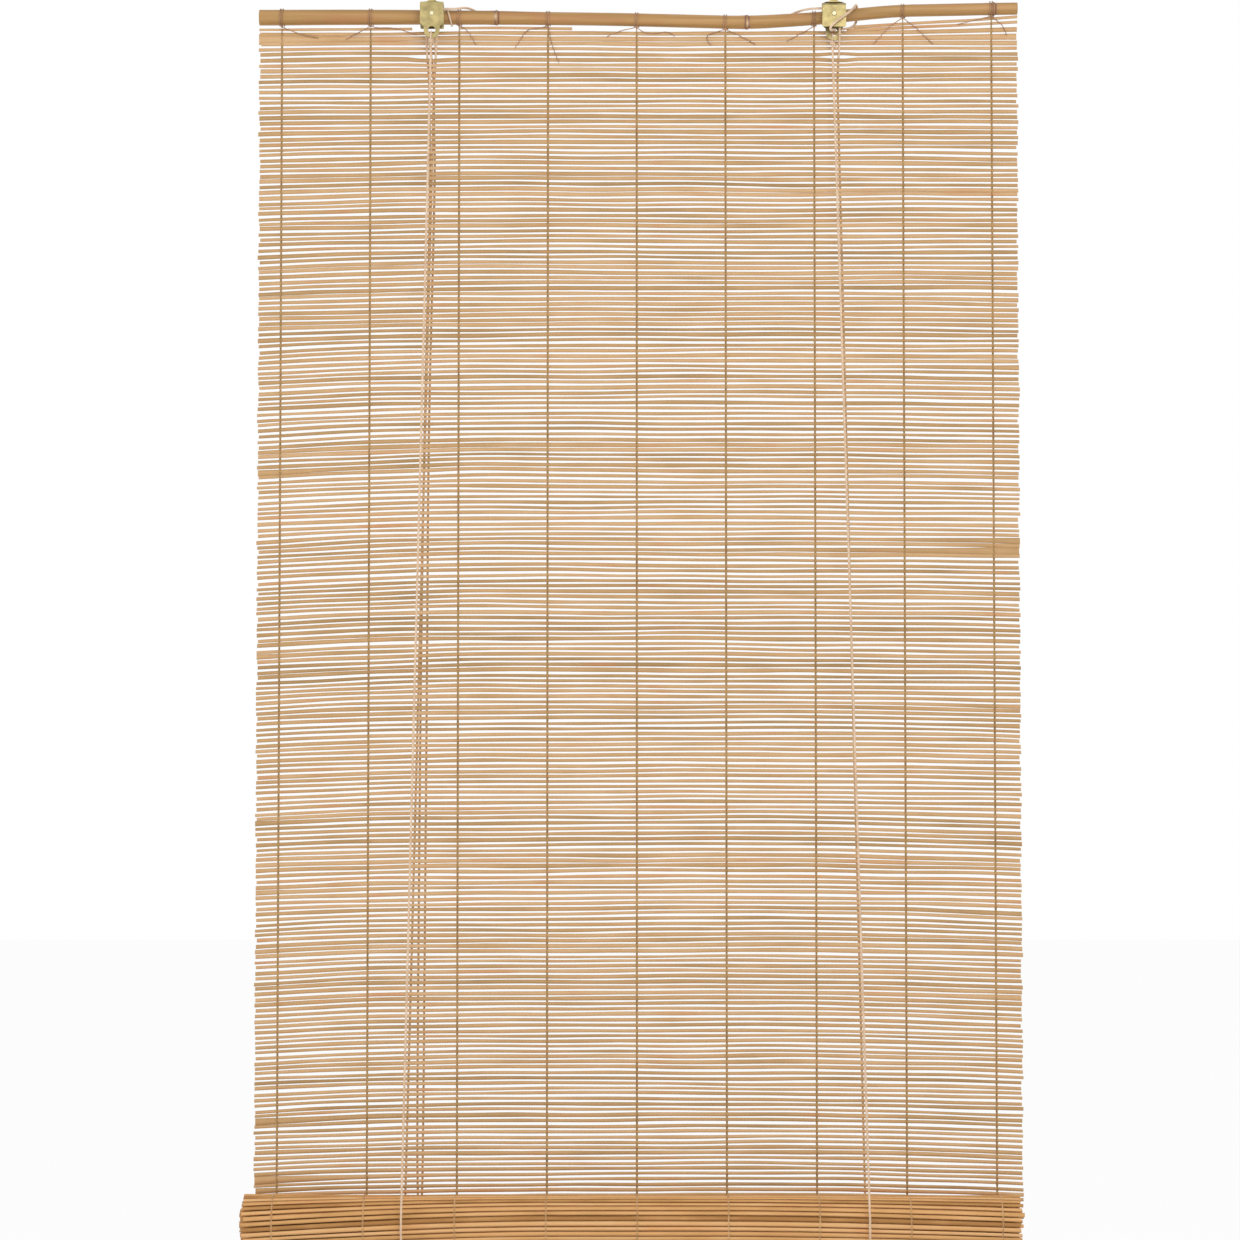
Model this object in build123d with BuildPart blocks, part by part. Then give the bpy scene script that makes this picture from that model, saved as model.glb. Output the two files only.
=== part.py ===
"""Bamboo roll up blind: a mat of thin slats hung from a bent bamboo pole and rolled up from its lower end.

Millimetres, +Z up, +X to the right, +Y towards the wall behind. The origin is midway between the two
hanging holes of the pulley brackets.
"""

import math
import os

from build123d import *

os.makedirs("parts", exist_ok=True)

# Mat
blind_width = 900.0
mat_offset_x = 6.5
slat_pitch = 6.2
slat_height = 3.3
slat_thickness = 1.9
web_thickness = 0.6
web_inset = 12.0
slat_rows = 226
end_stagger = 3.0
row_clearance = 0.4

# Warp threads
warp_count = 9
warp_pitch = 105.25
warp_offset_x = -2.0
strand_width = 1.2
strand_gap = 0.15

# Brackets
hanger_spacing = 475.6
sheet = 1.0
plate_gap = 12.0
plate_width = 28.0
hole_radius = 3.0
strap_width = 9.5
strap_head_radius = 7.0
strap_height = 27.5
bridge_height = 15.1
crease_height = 3.0
shoulder_height = 13.6
shoulder_inset = 1.9
chamfer_top = 11.0
chamfer_bottom = 16.0
eye_drop = 20.0
eye_radius = 9.5
eye_hole_radius = 4.5
short_plate_drop = 16.0
lip_height = 9.8
lip_rise = 2.6
corner_radius = 1.5

# Wheels, axles and screws
wheel_radius = 7.5
wheel_width = 9.0
groove_depth = 2.5
groove_pitch = 4.2
groove_half_width = 1.9
axle_radius = 1.5
running_clearance = 0.05
fixed_clearance = 0.02
rivet_head_radius = 3.0
rivet_head_height = 1.0
screw_offset = 10.6
screw_radius = 1.0
screw_length = 7.0
screw_head_radius = 2.2
screw_head_height = 0.8

# Pole: distance from its left end, rise of its axis, diameter
pole_stations = [
    (0.0, -0.4, 18.6),
    (101.0, 0.1, 18.2),
    (190.0, 0.1, 17.4),
    (282.0, -0.5, 16.4),
    (340.0, -1.4, 15.3),
    (405.0, -2.1, 15.3),
    (444.0, -2.9, 15.4),
    (556.0, -5.7, 15.6),
    (579.0, -6.5, 15.9),
    (657.0, -1.9, 15.2),
    (753.0, 7.7, 14.6),
    (872.0, 10.1, 14.4),
    (900.0, 10.7, 14.3),
]
node_distances = (282.0, 579.0, 872.0)
node_profile = [(-6.0, 0.0), (-2.0, 0.5), (0.0, 0.9), (1.5, -0.3), (5.0, 0.0)]
pole_seat_gap = 1.6
hollow_radius_left = 4.5
hollow_depth_left = 270.0
hollow_radius_right = 3.2
hollow_depth_right = 22.0

# Ties and knots
tie_width = 2.4
tie_thickness = 1.4
tie_clearance = 0.3
knot_radius = 1.9
knot_height = 3.2

# Cords
cord_radius = 1.5
lashing_radius = 1.2
thick_lashing_radius = 1.6
cord_clearance = 0.3
eye_knot_radius = 3.4
knot_loop_radius = 2.4
left_knot_shift = -0.7
right_knot_shift = -1.5
window_row = 4
window_height = 7.2
lashing_clearance = 0.4
lashing_knot_radius = 1.8

# Roll
roll_drop = 1417.0
roll_radius = 34.0
turn_pitch = 4.1
rolled_rows = 131
first_end_shift = 7.0
end_shift_per_turn = 1.8
stick_radius = 4.0
sling_radius = 40.2
back_run_top = -106.0
left_back_run_x = -236.0
right_back_run_x = 243.0
left_sling_x = -267.0
right_sling_x = 272.0
pull_cord_depth = 9.0
pull_knot_drop = 55.0
pull_knot_radius = 4.6
crossing_depth = 12.8

# Places worked out from the sizes above
axle_z = -strap_height
mat_left = mat_offset_x - blind_width / 2
plate_y = plate_gap / 2 + sheet / 2
left_x = -hanger_spacing / 2
right_x = hanger_spacing / 2
wrap_radius = wheel_radius - groove_depth + cord_radius + cord_clearance
warp_x = [
    mat_offset_x + warp_offset_x + (i - (warp_count - 1) / 2) * warp_pitch
    for i in range(warp_count)
]


def pole_at(x):
    """Rise of the pole's axis above the axles and the pole's radius, at x."""
    distance = min(max(x - mat_left, 0.0), blind_width)
    for (s0, rise0, dia0), (s1, rise1, dia1) in zip(pole_stations, pole_stations[1:]):
        if distance <= s1:
            share = (distance - s0) / (s1 - s0)
            return rise0 + share * (rise1 - rise0), (dia0 + share * (dia1 - dia0)) / 2
    return pole_stations[-1][1], pole_stations[-1][2] / 2


def pole_bottom(x):
    """Height of the pole's underside at x."""
    rise, radius = pole_at(x)
    return axle_z + rise - radius


pole_sections = [(s, rise, dia / 2) for s, rise, dia in pole_stations if s not in node_distances]
for distance in node_distances:
    for offset, swell in node_profile:
        section_rise, section_radius = pole_at(mat_left + distance + offset)
        pole_sections.append((distance + offset, section_rise, section_radius + swell))
pole_sections.sort()


def widest_near(x, reach):
    """The pole's largest radius within reach of x, node rings included."""
    swells = [r for s, _, r in pole_sections if abs(mat_left + s - x) <= reach]
    return max([pole_at(x)[1], *swells])


def tie_bottom(x):
    """Height of the underside of a tie's ring round the pole at x."""
    return axle_z + pole_at(x)[0] - widest_near(x, 2 * tie_width) - tie_clearance - tie_thickness


pole_y = plate_y + sheet / 2 + pole_seat_gap + pole_at(left_x)[1]
mat_y = pole_y
mat_front = mat_y - slat_thickness / 2
mat_back = mat_y + slat_thickness / 2
lowest_underside = min(pole_bottom(mat_left + s) for s, _, _ in pole_stations) - node_profile[2][1]
room_below_tie = tie_clearance + tie_thickness + row_clearance + slat_height / 2
first_row_z = min(lowest_underside - room_below_tie, pole_bottom(warp_x[0]) - room_below_tie - slat_pitch)
last_row_z = first_row_z - (slat_rows - 1) * slat_pitch

roll_z = axle_z - roll_drop
thread_outer = roll_radius + strand_gap + strand_width
roll_y = mat_front - strand_gap - strand_width - thread_outer - 0.5
lift_back_y = mat_back + strand_gap + strand_width + cord_clearance + cord_radius
sling_y = lift_back_y - sling_radius
lift_front_y = sling_y - sling_radius

# Short slats that fill the wedge between the bent pole and the first full row: row, left end, right end
short_slats = [
    (-1, mat_left, left_x - 20.0),
    (-1, left_x + 34.0, -75.0),
    (-1, 285.0, mat_left + blind_width),
    (-2, 292.0, mat_left + blind_width),
]
windows = [(left_x - 9.0, left_x + 6.5), (right_x + 3.5, right_x + 10.0)]


def row_z(row):
    """Height of a slat's middle."""
    return first_row_z - row * slat_pitch


def gap_z(row):
    """Height of the middle of the gap below a slat."""
    return row_z(row) - slat_pitch / 2


window_z = gap_z(window_row)


def passing(x, y):
    """A point of a cord's line, where it goes back through a window at 45 degrees."""
    return (x, y, window_z + mat_y - y)


def save(part, name):
    """Label a finished piece and write its STEP file."""
    part.label = name
    export_step(part, f"parts/{name}.step")


def print_bends(name, points, radii):
    """Say how tight each bend of a cord's route is."""
    turns = ", ".join(f"{radius:.0f}" for radius in radii)
    print(f"{name}: {len(points)} points, radii {turns} mm")


def bend_radii(points):
    """The largest arc that each corner's two runs allow: 0.45 of the shorter run over the half turn's tangent."""
    radii = []
    for before, here, after in zip(points, points[1:], points[2:]):
        run_in = Vector(here) - Vector(before)
        run_out = Vector(after) - Vector(here)
        half_turn = math.radians(run_in.get_angle(run_out)) / 2
        radii.append(0.45 * min(run_in.length, run_out.length) / math.tan(half_turn))
    return radii


def make_cord(name, radius, stretches, wraps=()):
    """A cord along straight runs joined by tangent arcs, with a wheel's arc after each stretch but the last."""
    first, second = stretches[0][:2]
    with BuildPart() as cord:
        with BuildLine() as route:
            for points in stretches:
                radii = bend_radii(points)
                print_bends(name, points, radii)
                if radii:
                    FilletPolyline(*points, radius=radii)
                else:
                    Line(*points)
            for wrap in wraps:
                ThreePointArc(*wrap)
        with BuildSketch(Plane(origin=first, z_dir=Vector(second) - Vector(first))):
            Circle(radius)
        sweep(path=route.wire())
    length = route.wire().length
    share = cord.part.volume / (math.pi * radius**2 * length)
    print(f"{name}: length {length:.0f} mm, volume over section times length {share:.4f}")
    save(cord.part, name)


# Head pole: round sections along the bent axis, with a ridge and a scar at each node
with BuildPart() as head_pole:
    for distance, rise, radius in pole_sections:
        with BuildSketch(Plane(origin=(mat_left + distance, pole_y, axle_z + rise), z_dir=(1, 0, 0))):
            Circle(radius)
    loft(ruled=True)
    left_rise = pole_at(mat_left)[0]
    with BuildSketch(Plane(origin=(mat_left, pole_y, axle_z + left_rise), z_dir=(1, 0, 0))):
        Circle(hollow_radius_left)
    extrude(amount=hollow_depth_left, mode=Mode.SUBTRACT)
    right_rise = pole_at(mat_left + blind_width)[0]
    right_end = (mat_left + blind_width, pole_y, axle_z + right_rise)
    with BuildSketch(Plane(origin=right_end, z_dir=(-1, 0, 0))):
        Circle(hollow_radius_right)
    extrude(amount=hollow_depth_right, mode=Mode.SUBTRACT)
    for bracket_x in (left_x, right_x):
        for side in (-1, 1):
            screw_x = bracket_x + side * screw_offset
            with BuildSketch(Plane(origin=(screw_x, 0, axle_z), z_dir=(0, 1, 0))):
                Circle(screw_radius + fixed_clearance)
            extrude(amount=plate_gap / 2 + screw_length + 0.2, mode=Mode.SUBTRACT)
save(head_pole.part, "head_pole")


# Slat curtain: one wall, a ridge for each slat, and a gap at every second space between slats
gap_left = warp_x[0] + strand_width
gap_right = warp_x[-1] - strand_width
curtain_top = row_z(0) + slat_height / 2
curtain_bottom = last_row_z - slat_height / 2
with BuildPart() as slat_curtain:
    with BuildSketch(Plane(origin=(0, mat_back, 0), z_dir=(0, -1, 0), x_dir=(1, 0, 0))) as wall_face:
        with Locations((mat_offset_x, (curtain_top + curtain_bottom) / 2)):
            Rectangle(blind_width - 2 * web_inset, curtain_top - curtain_bottom)
        for row, start, end in short_slats:
            middle = (max(start, mat_left + web_inset) + min(end, mat_left + blind_width - web_inset)) / 2
            length = 2 * (middle - max(start, mat_left + web_inset))
            with Locations((middle, (row_z(row) + row_z(row + 1)) / 2)):
                Rectangle(length, slat_pitch + slat_height)
        for row in range(1, slat_rows - 1, 2):
            if abs(gap_z(row) - window_z) < window_height / 2 + slat_pitch:
                continue
            with Locations(((gap_left + gap_right) / 2, gap_z(row))):
                Rectangle(gap_right - gap_left, slat_pitch - slat_height, mode=Mode.SUBTRACT)
    extrude(amount=web_thickness)
    with BuildSketch(Plane(origin=(0, mat_back, 0), z_dir=(0, -1, 0), x_dir=(1, 0, 0))):
        for row in range(slat_rows):
            stagger = end_stagger * math.sin(2.4 * row)
            length = blind_width - end_stagger * (1 + math.sin(1.7 * row))
            with Locations((mat_offset_x + stagger / 2, row_z(row))):
                Rectangle(length, slat_height)
        for row, start, end in short_slats:
            with Locations(((start + end) / 2, row_z(row))):
                Rectangle(end - start, slat_height)
    extrude(amount=slat_thickness)
    with BuildSketch(Plane(origin=(0, mat_back, 0), z_dir=(0, -1, 0), x_dir=(1, 0, 0))):
        for start, end in windows:
            with Locations(((start + end) / 2, window_z)):
                Rectangle(end - start, window_height)
    extrude(amount=slat_thickness, mode=Mode.SUBTRACT)
save(slat_curtain.part, "slat_curtain")


# Warp threads: a strand down the front and one down the back of the mat, at each of nine lines
for number, x in enumerate(warp_x, start=1):
    strand_top = tie_bottom(x) - knot_height / 2 - 0.2
    front_y = mat_front - strand_gap - strand_width / 2
    back_y = mat_back + strand_gap + strand_width / 2
    back_top = tie_bottom(x) - 0.4
    with BuildPart() as warp_thread:
        for y, top in [(front_y, strand_top), (back_y, back_top)]:
            with BuildSketch(Plane.XY.offset(curtain_bottom)):
                with Locations((x, y)):
                    RegularPolygon(strand_width / 2, 6, major_radius=False, rotation=30)
            extrude(amount=top - curtain_bottom)
    save(warp_thread.part, f"warp_thread_{number}")


# Pole ties: each warp thread goes round the pole and is knotted below it
with BuildPart() as pole_ties:
    for x in warp_x:
        middle_z = axle_z + pole_at(x)[0]
        outside = middle_z - tie_bottom(x)
        with BuildSketch(Plane(origin=(x - tie_width / 2, pole_y, middle_z), z_dir=(1, 0, 0))):
            Circle(outside)
            Circle(outside - tie_thickness, mode=Mode.SUBTRACT)
        extrude(amount=tie_width)
        knot_y = mat_front - strand_gap - knot_radius
        with BuildSketch(Plane.XY.offset(tie_bottom(x) - knot_height / 2)):
            with Locations((x, knot_y)):
                Circle(knot_radius)
        extrude(amount=knot_height)
save(pole_ties.part, "pole_ties")


def make_long_plate(x, side, name):
    """The bracket's long plate, creased towards the strap at its top, with the eye at its foot."""
    shoulder = plate_y - shoulder_inset
    path = [
        (side * plate_y, axle_z - eye_drop - eye_radius),
        (side * plate_y, axle_z + crease_height),
        (side * shoulder, axle_z + shoulder_height),
        (0.0, axle_z + bridge_height),
        (0.0, strap_head_radius),
    ]
    with BuildPart() as long_plate:
        with BuildSketch(Plane.YZ.offset(x - plate_width / 2)):
            with BuildLine():
                spine = Polyline(*path)
            trace(spine, line_width=sheet)
        extrude(amount=plate_width)
        with BuildSketch(Plane(origin=(x, plate_y * 2, 0), z_dir=(0, -1, 0), x_dir=(1, 0, 0))):
            with BuildLine():
                half = plate_width / 2
                neck = strap_width / 2
                Polyline(
                    (-eye_radius, axle_z - eye_drop),
                    (-eye_radius, axle_z - chamfer_bottom),
                    (-half, axle_z - chamfer_top),
                    (-half, axle_z + shoulder_height),
                    (-neck, axle_z + bridge_height + sheet),
                    (-neck, 0),
                    (neck, 0),
                    (neck, axle_z + bridge_height + sheet),
                    (half, axle_z + shoulder_height),
                    (half, axle_z - chamfer_top),
                    (eye_radius, axle_z - chamfer_bottom),
                    (eye_radius, axle_z - eye_drop),
                    close=True,
                )
            make_face()
            with Locations((0, axle_z - eye_drop)):
                Circle(eye_radius)
                Circle(eye_hole_radius, mode=Mode.SUBTRACT)
            with Locations((0, 0)):
                Circle(strap_head_radius)
                Circle(hole_radius, mode=Mode.SUBTRACT)
            with Locations((0, axle_z)):
                Circle(axle_radius + fixed_clearance, mode=Mode.SUBTRACT)
            if side > 0:
                with Locations((-screw_offset, axle_z), (screw_offset, axle_z)):
                    Circle(screw_radius + fixed_clearance, mode=Mode.SUBTRACT)
        extrude(amount=plate_y * 4, mode=Mode.INTERSECT)
    save(long_plate.part, name)


def make_short_plate(x, side, name):
    """The bracket's short square plate, with a lip bent in under the strap at its top."""
    lip_y = shoulder_inset + sheet
    path = [
        (side * plate_y, axle_z - short_plate_drop),
        (side * plate_y, axle_z + lip_height),
        (side * lip_y, axle_z + lip_height + lip_rise),
    ]
    with BuildPart() as short_plate:
        with BuildSketch(Plane.YZ.offset(x - plate_width / 2)):
            with BuildLine():
                spine = Polyline(*path)
            trace(spine, line_width=sheet)
        extrude(amount=plate_width)
        corners = short_plate.edges().filter_by(Axis.Y).group_by(Axis.Z)[0]
        fillet(corners, radius=corner_radius)
        holes = [(0, 0)]
        if side > 0:
            holes += [(-screw_offset, 0), (screw_offset, 0)]
        for hole_x, _ in holes:
            radius = axle_radius if hole_x == 0 else screw_radius
            plane = Plane(origin=(x + hole_x, side * plate_y - sheet, axle_z), z_dir=(0, 1, 0))
            with BuildSketch(plane):
                Circle(radius + fixed_clearance)
            extrude(amount=2 * sheet, mode=Mode.SUBTRACT)
    save(short_plate.part, name)


def make_wheel(x, name):
    """A wheel with two rounded grooves, bored for its axle."""
    rim = wheel_radius
    bottom = wheel_radius - groove_depth
    half_groove = groove_half_width
    with BuildPart() as wheel:
        with BuildSketch(Plane(origin=(x, 0, axle_z))):
            with BuildLine():
                start = Line((axle_radius + running_clearance, -wheel_width / 2), (rim, -wheel_width / 2))
                land_1 = Line(start @ 1, (rim, -groove_pitch / 2 - half_groove))
                groove_end_1 = (rim, -groove_pitch / 2 + half_groove)
                arc_1 = ThreePointArc(land_1 @ 1, (bottom, -groove_pitch / 2), groove_end_1)
                land_2 = Line(arc_1 @ 1, (rim, groove_pitch / 2 - half_groove))
                groove_end_2 = (rim, groove_pitch / 2 + half_groove)
                arc_2 = ThreePointArc(land_2 @ 1, (bottom, groove_pitch / 2), groove_end_2)
                land_3 = Line(arc_2 @ 1, (rim, wheel_width / 2))
                end = Line(land_3 @ 1, (axle_radius + running_clearance, wheel_width / 2))
                Line(end @ 1, start @ 0)
            make_face()
        revolve(axis=Axis((x, 0, axle_z), (0, 1, 0)))
    save(wheel.part, name)


def make_rivet(x, name):
    """The rivet that is the wheel's axle, with a domed head on each plate."""
    reach = plate_y + sheet / 2
    with BuildPart() as rivet:
        with BuildSketch(Plane(origin=(x, -reach, axle_z), z_dir=(0, 1, 0))):
            Circle(axle_radius)
        extrude(amount=2 * reach)
        for side in (-1, 1):
            with BuildSketch(Plane(origin=(x, side * reach, axle_z), z_dir=(0, side, 0))):
                Circle(rivet_head_radius)
            extrude(amount=rivet_head_height, taper=35)
    save(rivet.part, name)


def make_screws(x, name):
    """Two small screws that fix the bracket's rear plate to the pole."""
    inner_face = plate_y - sheet / 2
    with BuildPart() as screws:
        for side in (-1, 1):
            origin = (x + side * screw_offset, inner_face, axle_z)
            with BuildSketch(Plane(origin=origin, z_dir=(0, -1, 0))):
                Circle(screw_head_radius)
            extrude(amount=screw_head_height)
            with BuildSketch(Plane(origin=origin, z_dir=(0, 1, 0))):
                Circle(screw_radius)
            extrude(amount=screw_length)
    save(screws.part, name)


def make_eye_knot(x, side, name):
    """The end of a lift cord: a loop through the eye and round its rim, into a knot below it."""
    y = side * plate_y
    loop_z = axle_z - eye_drop - eye_hole_radius - 0.1
    knot_z = axle_z - eye_drop - eye_radius - eye_knot_radius - 0.4
    with BuildPart() as knot:
        with BuildLine() as loop:
            front_leg = Line((x, y - knot_loop_radius, knot_z), (x, y - knot_loop_radius, loop_z))
            crown = (x, y, loop_z + knot_loop_radius)
            over = ThreePointArc(front_leg @ 1, crown, (x, y + knot_loop_radius, loop_z))
            Line(over @ 1, (x, y + knot_loop_radius, knot_z))
        with BuildSketch(Plane(origin=loop.line @ 0, z_dir=(0, 0, 1))):
            Circle(cord_radius)
        sweep(path=loop.line)
        with Locations((x, y, knot_z)):
            Sphere(eye_knot_radius)
        split(bisect_by=Plane.XY.offset(knot_z - eye_knot_radius + 0.8), keep=Keep.TOP)
    save(knot.part, name)
    return (x, y, knot_z - eye_knot_radius + 0.8)


def make_run(top, bottom, name):
    """A tight stretch of lift cord, cut level at both ends."""
    with BuildPart() as run:
        with BuildSketch(Plane.XY.offset(top[2])):
            with Locations(top[:2]):
                Circle(cord_radius)
        with BuildSketch(Plane.XY.offset(bottom[2])):
            with Locations(bottom[:2]):
                Circle(cord_radius)
        loft()
    save(run.part, name)


def make_sling(x, name):
    """The lift cord's stretch under the roll."""
    with BuildPart() as sling:
        with BuildLine() as under:
            ThreePointArc(
                (x, lift_back_y, roll_z),
                (x, sling_y, roll_z - sling_radius),
                (x, lift_front_y, roll_z),
            )
        with BuildSketch(Plane(origin=under.line @ 0, z_dir=under.line % 0)):
            Circle(cord_radius)
        sweep(path=under.line)
    save(sling.part, name)


# The two pulley brackets are alike, and stand back to front: the left one's long plate faces the room
brackets = [
    ("left", left_x, -1, left_knot_shift, left_sling_x),
    ("right", right_x, 1, right_knot_shift, right_sling_x),
]
for hand, x, long_side, knot_shift, sling_x in brackets:
    make_long_plate(x, long_side, f"{hand}_long_plate")
    make_short_plate(x, -long_side, f"{hand}_short_plate")
    make_wheel(x, f"{hand}_wheel")
    make_rivet(x, f"{hand}_axle_rivet")
    make_screws(x, f"{hand}_fixing_screws")
    run_top = make_eye_knot(x + knot_shift, long_side, f"{hand}_eye_knot")
    make_run(run_top, (sling_x, lift_front_y, roll_z), f"{hand}_front_run")
    make_sling(sling_x, f"{hand}_sling")


# Rolled slats: the mat's lower end wound into a spiral, its left end stepped out a little more at each turn.
# The hidden turns have bevelled slats.
def wind(rows):
    """Angle and middle radius of each wound slat, from the outermost one inwards."""
    places = []
    angle = 0.0
    radius = roll_radius - slat_thickness / 2
    for _ in range(rows):
        places.append((angle, radius))
        step = slat_pitch / radius
        angle -= step
        radius -= turn_pitch * step / (2 * math.pi)
    return places


def on_roll(angle, radius):
    """A point of the roll's section, in the plane across its axis."""
    return (roll_y + radius * math.cos(angle), roll_z + radius * math.sin(angle))


wound = wind(rolled_rows)
turns = int(-wound[-1][0] // (2 * math.pi)) + 1
half_slat = slat_height / 2
with BuildPart() as rolled_slats:
    for turn in range(turns):
        rows = [i for i, (angle, _) in enumerate(wound) if turn <= -angle / (2 * math.pi) < turn + 1]
        outer = []
        inner = []
        for i in rows:
            angle, radius = wound[i]
            spread = half_slat / radius
            start = angle + slat_pitch / 2 / radius
            low = radius - slat_thickness / 2
            high = radius + slat_thickness / 2
            inner.append(on_roll(start, low))
            ridge = [on_roll(angle + spread, high), on_roll(angle - spread, high)]
            if turn == 0:
                outer.append(on_roll(angle + spread, low + web_thickness))
                outer += ridge
                outer.append(on_roll(angle - spread, low + web_thickness))
            else:
                outer.append(on_roll(start, low + web_thickness))
                outer += ridge
        if rows[-1] + 1 < rolled_rows:
            angle, radius = wound[rows[-1] + 1]
            start = angle + slat_pitch / 2 / radius
            inner.append(on_roll(start, radius - slat_thickness / 2))
            outer.append(on_roll(start, radius - slat_thickness / 2 + web_thickness))
        else:
            inner.append(on_roll(angle - spread, low))
        shift = first_end_shift + turn * end_shift_per_turn
        with BuildSketch(Plane.YZ.offset(mat_left - shift)):
            with BuildLine():
                Polyline(*outer, *reversed(inner), close=True)
            make_face()
        extrude(amount=blind_width)
save(rolled_slats.part, "rolled_slats")


# Roll threads: the nine warps round the roll's outer turn
thread_steps = 20
with BuildPart() as roll_threads:
    for x in warp_x:
        inner = []
        outer = []
        for step in range(thread_steps + 1):
            angle = -2 * math.pi * 0.96 * step / thread_steps
            radius = roll_radius + turn_pitch * angle / (2 * math.pi) + strand_gap + 0.35
            inner.append(on_roll(angle, radius))
            outer.append(on_roll(angle, radius + strand_width - 0.35))
        with BuildSketch(Plane.YZ.offset(x - strand_width)):
            with BuildLine():
                Polyline(*outer, *reversed(inner), close=True)
            make_face()
        extrude(amount=2 * strand_width)
save(roll_threads.part, "roll_threads")


# Bottom stick: the rod that the mat's lower edge is tied to, at the roll's core
with BuildPart() as bottom_stick:
    with BuildSketch(Plane(origin=(mat_left - first_end_shift, roll_y, roll_z), z_dir=(1, 0, 0))):
        Circle(stick_radius)
    extrude(amount=blind_width)
save(bottom_stick.part, "bottom_stick")


# Lift cords behind the mat: each rises from its sling, comes forward through a window and goes over a wheel
def wheel_wrap(x, y, start, end):
    """Start, middle and end of a cord's arc on a wheel, between two angles in degrees."""
    angles = [math.radians(a) for a in (start, (start + end) / 2, end)]
    return [(x + wrap_radius * math.cos(a), y, axle_z + wrap_radius * math.sin(a)) for a in angles]


left_back_top = (left_back_run_x, lift_back_y, back_run_top)
right_back_top = (right_back_run_x, lift_back_y, back_run_top)
make_run(left_back_top, (left_sling_x, lift_back_y, roll_z), "left_back_run")
make_run(right_back_top, (right_sling_x, lift_back_y, roll_z), "right_back_run")

front_groove = -groove_pitch / 2
rear_groove = groove_pitch / 2
pull_y = mat_y + pull_cord_depth
crossing_y = pole_y + crossing_depth
pull_a_top = (-236.5, pull_y, back_run_top)
pull_b_top = (-242.0, pull_y, back_run_top)

over_left = wheel_wrap(left_x, front_groove, 0, 180)
rising = [
    left_back_top,
    passing(-234.6, lift_back_y),
    passing(-233.8, 12.5),
    (over_left[0][0], front_groove, -41.0),
]
falling = [(over_left[2][0], front_groove, -41.0), passing(-239.4, 12.5), passing(-238.4, pull_y), pull_a_top]
make_cord("left_wheel_cord", cord_radius, [[*rising, over_left[0]], [over_left[2], *falling]], [over_left])

over_right = wheel_wrap(right_x, front_groove, 0, 90)
down_left = wheel_wrap(left_x, rear_groove, 90, 180)
rising = [
    right_back_top,
    passing(243.8, lift_back_y),
    passing(244.5, 12.5),
    (over_right[0][0], front_groove, -47.0),
]
across = [
    (214.0, front_groove, over_right[2][2]),
    (203.0, 9.5, -16.8),
    (194.0, 22.0, -16.4),
    (184.0, crossing_y - 0.6, -20.5),
    (168.0, crossing_y, -25.5),
    (140.0, crossing_y, -27.0),
    (-138.0, crossing_y, -27.0),
    (-166.0, crossing_y, -25.0),
    (-182.0, crossing_y - 0.6, -19.5),
    (-191.0, 22.5, -15.2),
    (-199.5, 11.0, -15.6),
    (-211.0, rear_groove, down_left[0][2]),
]
falling = [(down_left[2][0], rear_groove, -41.0), passing(-244.4, 12.5), passing(-243.4, pull_y), pull_b_top]
crossing_stretches = [[*rising, over_right[0]], [over_right[2], *across, down_left[0]], [down_left[2], *falling]]
make_cord("crossing_cord", cord_radius, crossing_stretches, [over_right, down_left])


# Pull cords: they hang behind the mat to a joining knot just below the roll
knot_z = roll_z - pull_knot_drop
knot_x = -249.5
pull_a = [
    pull_a_top,
    (-236.5, pull_y, -150.0),
    (-234.5, pull_y, -217.0),
    (-241.9, pull_y, -508.0),
    (-242.8, pull_y, -782.0),
    (-244.8, pull_y, -1139.0),
    (-246.1, pull_y, -1376.0),
    (knot_x + cord_radius + 0.1, pull_y, knot_z + 50.0),
    (knot_x + cord_radius + 0.1, pull_y, knot_z),
]
pull_b = [
    pull_b_top,
    (-242.0, pull_y, -150.0),
    (-239.9, pull_y, -217.0),
    (-246.6, pull_y, -508.0),
    (-250.1, pull_y, -782.0),
    (-252.2, pull_y, -1139.0),
    (-253.2, pull_y, -1376.0),
    (knot_x - cord_radius - 0.1, pull_y, knot_z + 50.0),
    (knot_x - cord_radius - 0.1, pull_y, knot_z),
]
make_cord("pull_cord_a", cord_radius, [pull_a])
make_cord("pull_cord_b", cord_radius, [pull_b])
with BuildPart() as cord_knot:
    with Locations((knot_x, pull_y, knot_z)):
        Sphere(pull_knot_radius)
    split(bisect_by=Plane.XY.offset(knot_z), keep=Keep.BOTTOM)
    with BuildSketch(Plane.XY.offset(knot_z - 14.0)):
        with Locations((knot_x, pull_y)):
            Circle(cord_radius)
    extrude(amount=11.0)
save(cord_knot.part, "cord_knot")


# Lashings: each ties its bracket to the pole
left_lash_x = left_x + 20.0
lash_ring_radius = pole_at(left_lash_x)[1] + lashing_radius + lashing_clearance + 0.5
lash_centre = (left_lash_x, pole_y, axle_z + pole_at(left_lash_x)[0])
with BuildPart() as left_lashing:
    with Locations(Plane(origin=lash_centre, z_dir=(1, 0, 0.28))):
        Torus(lash_ring_radius, lashing_radius)
    with Locations((left_lash_x, pole_y + lash_ring_radius, lash_centre[2])):
        Sphere(lashing_knot_radius)
save(left_lashing.part, "left_lashing")

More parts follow.
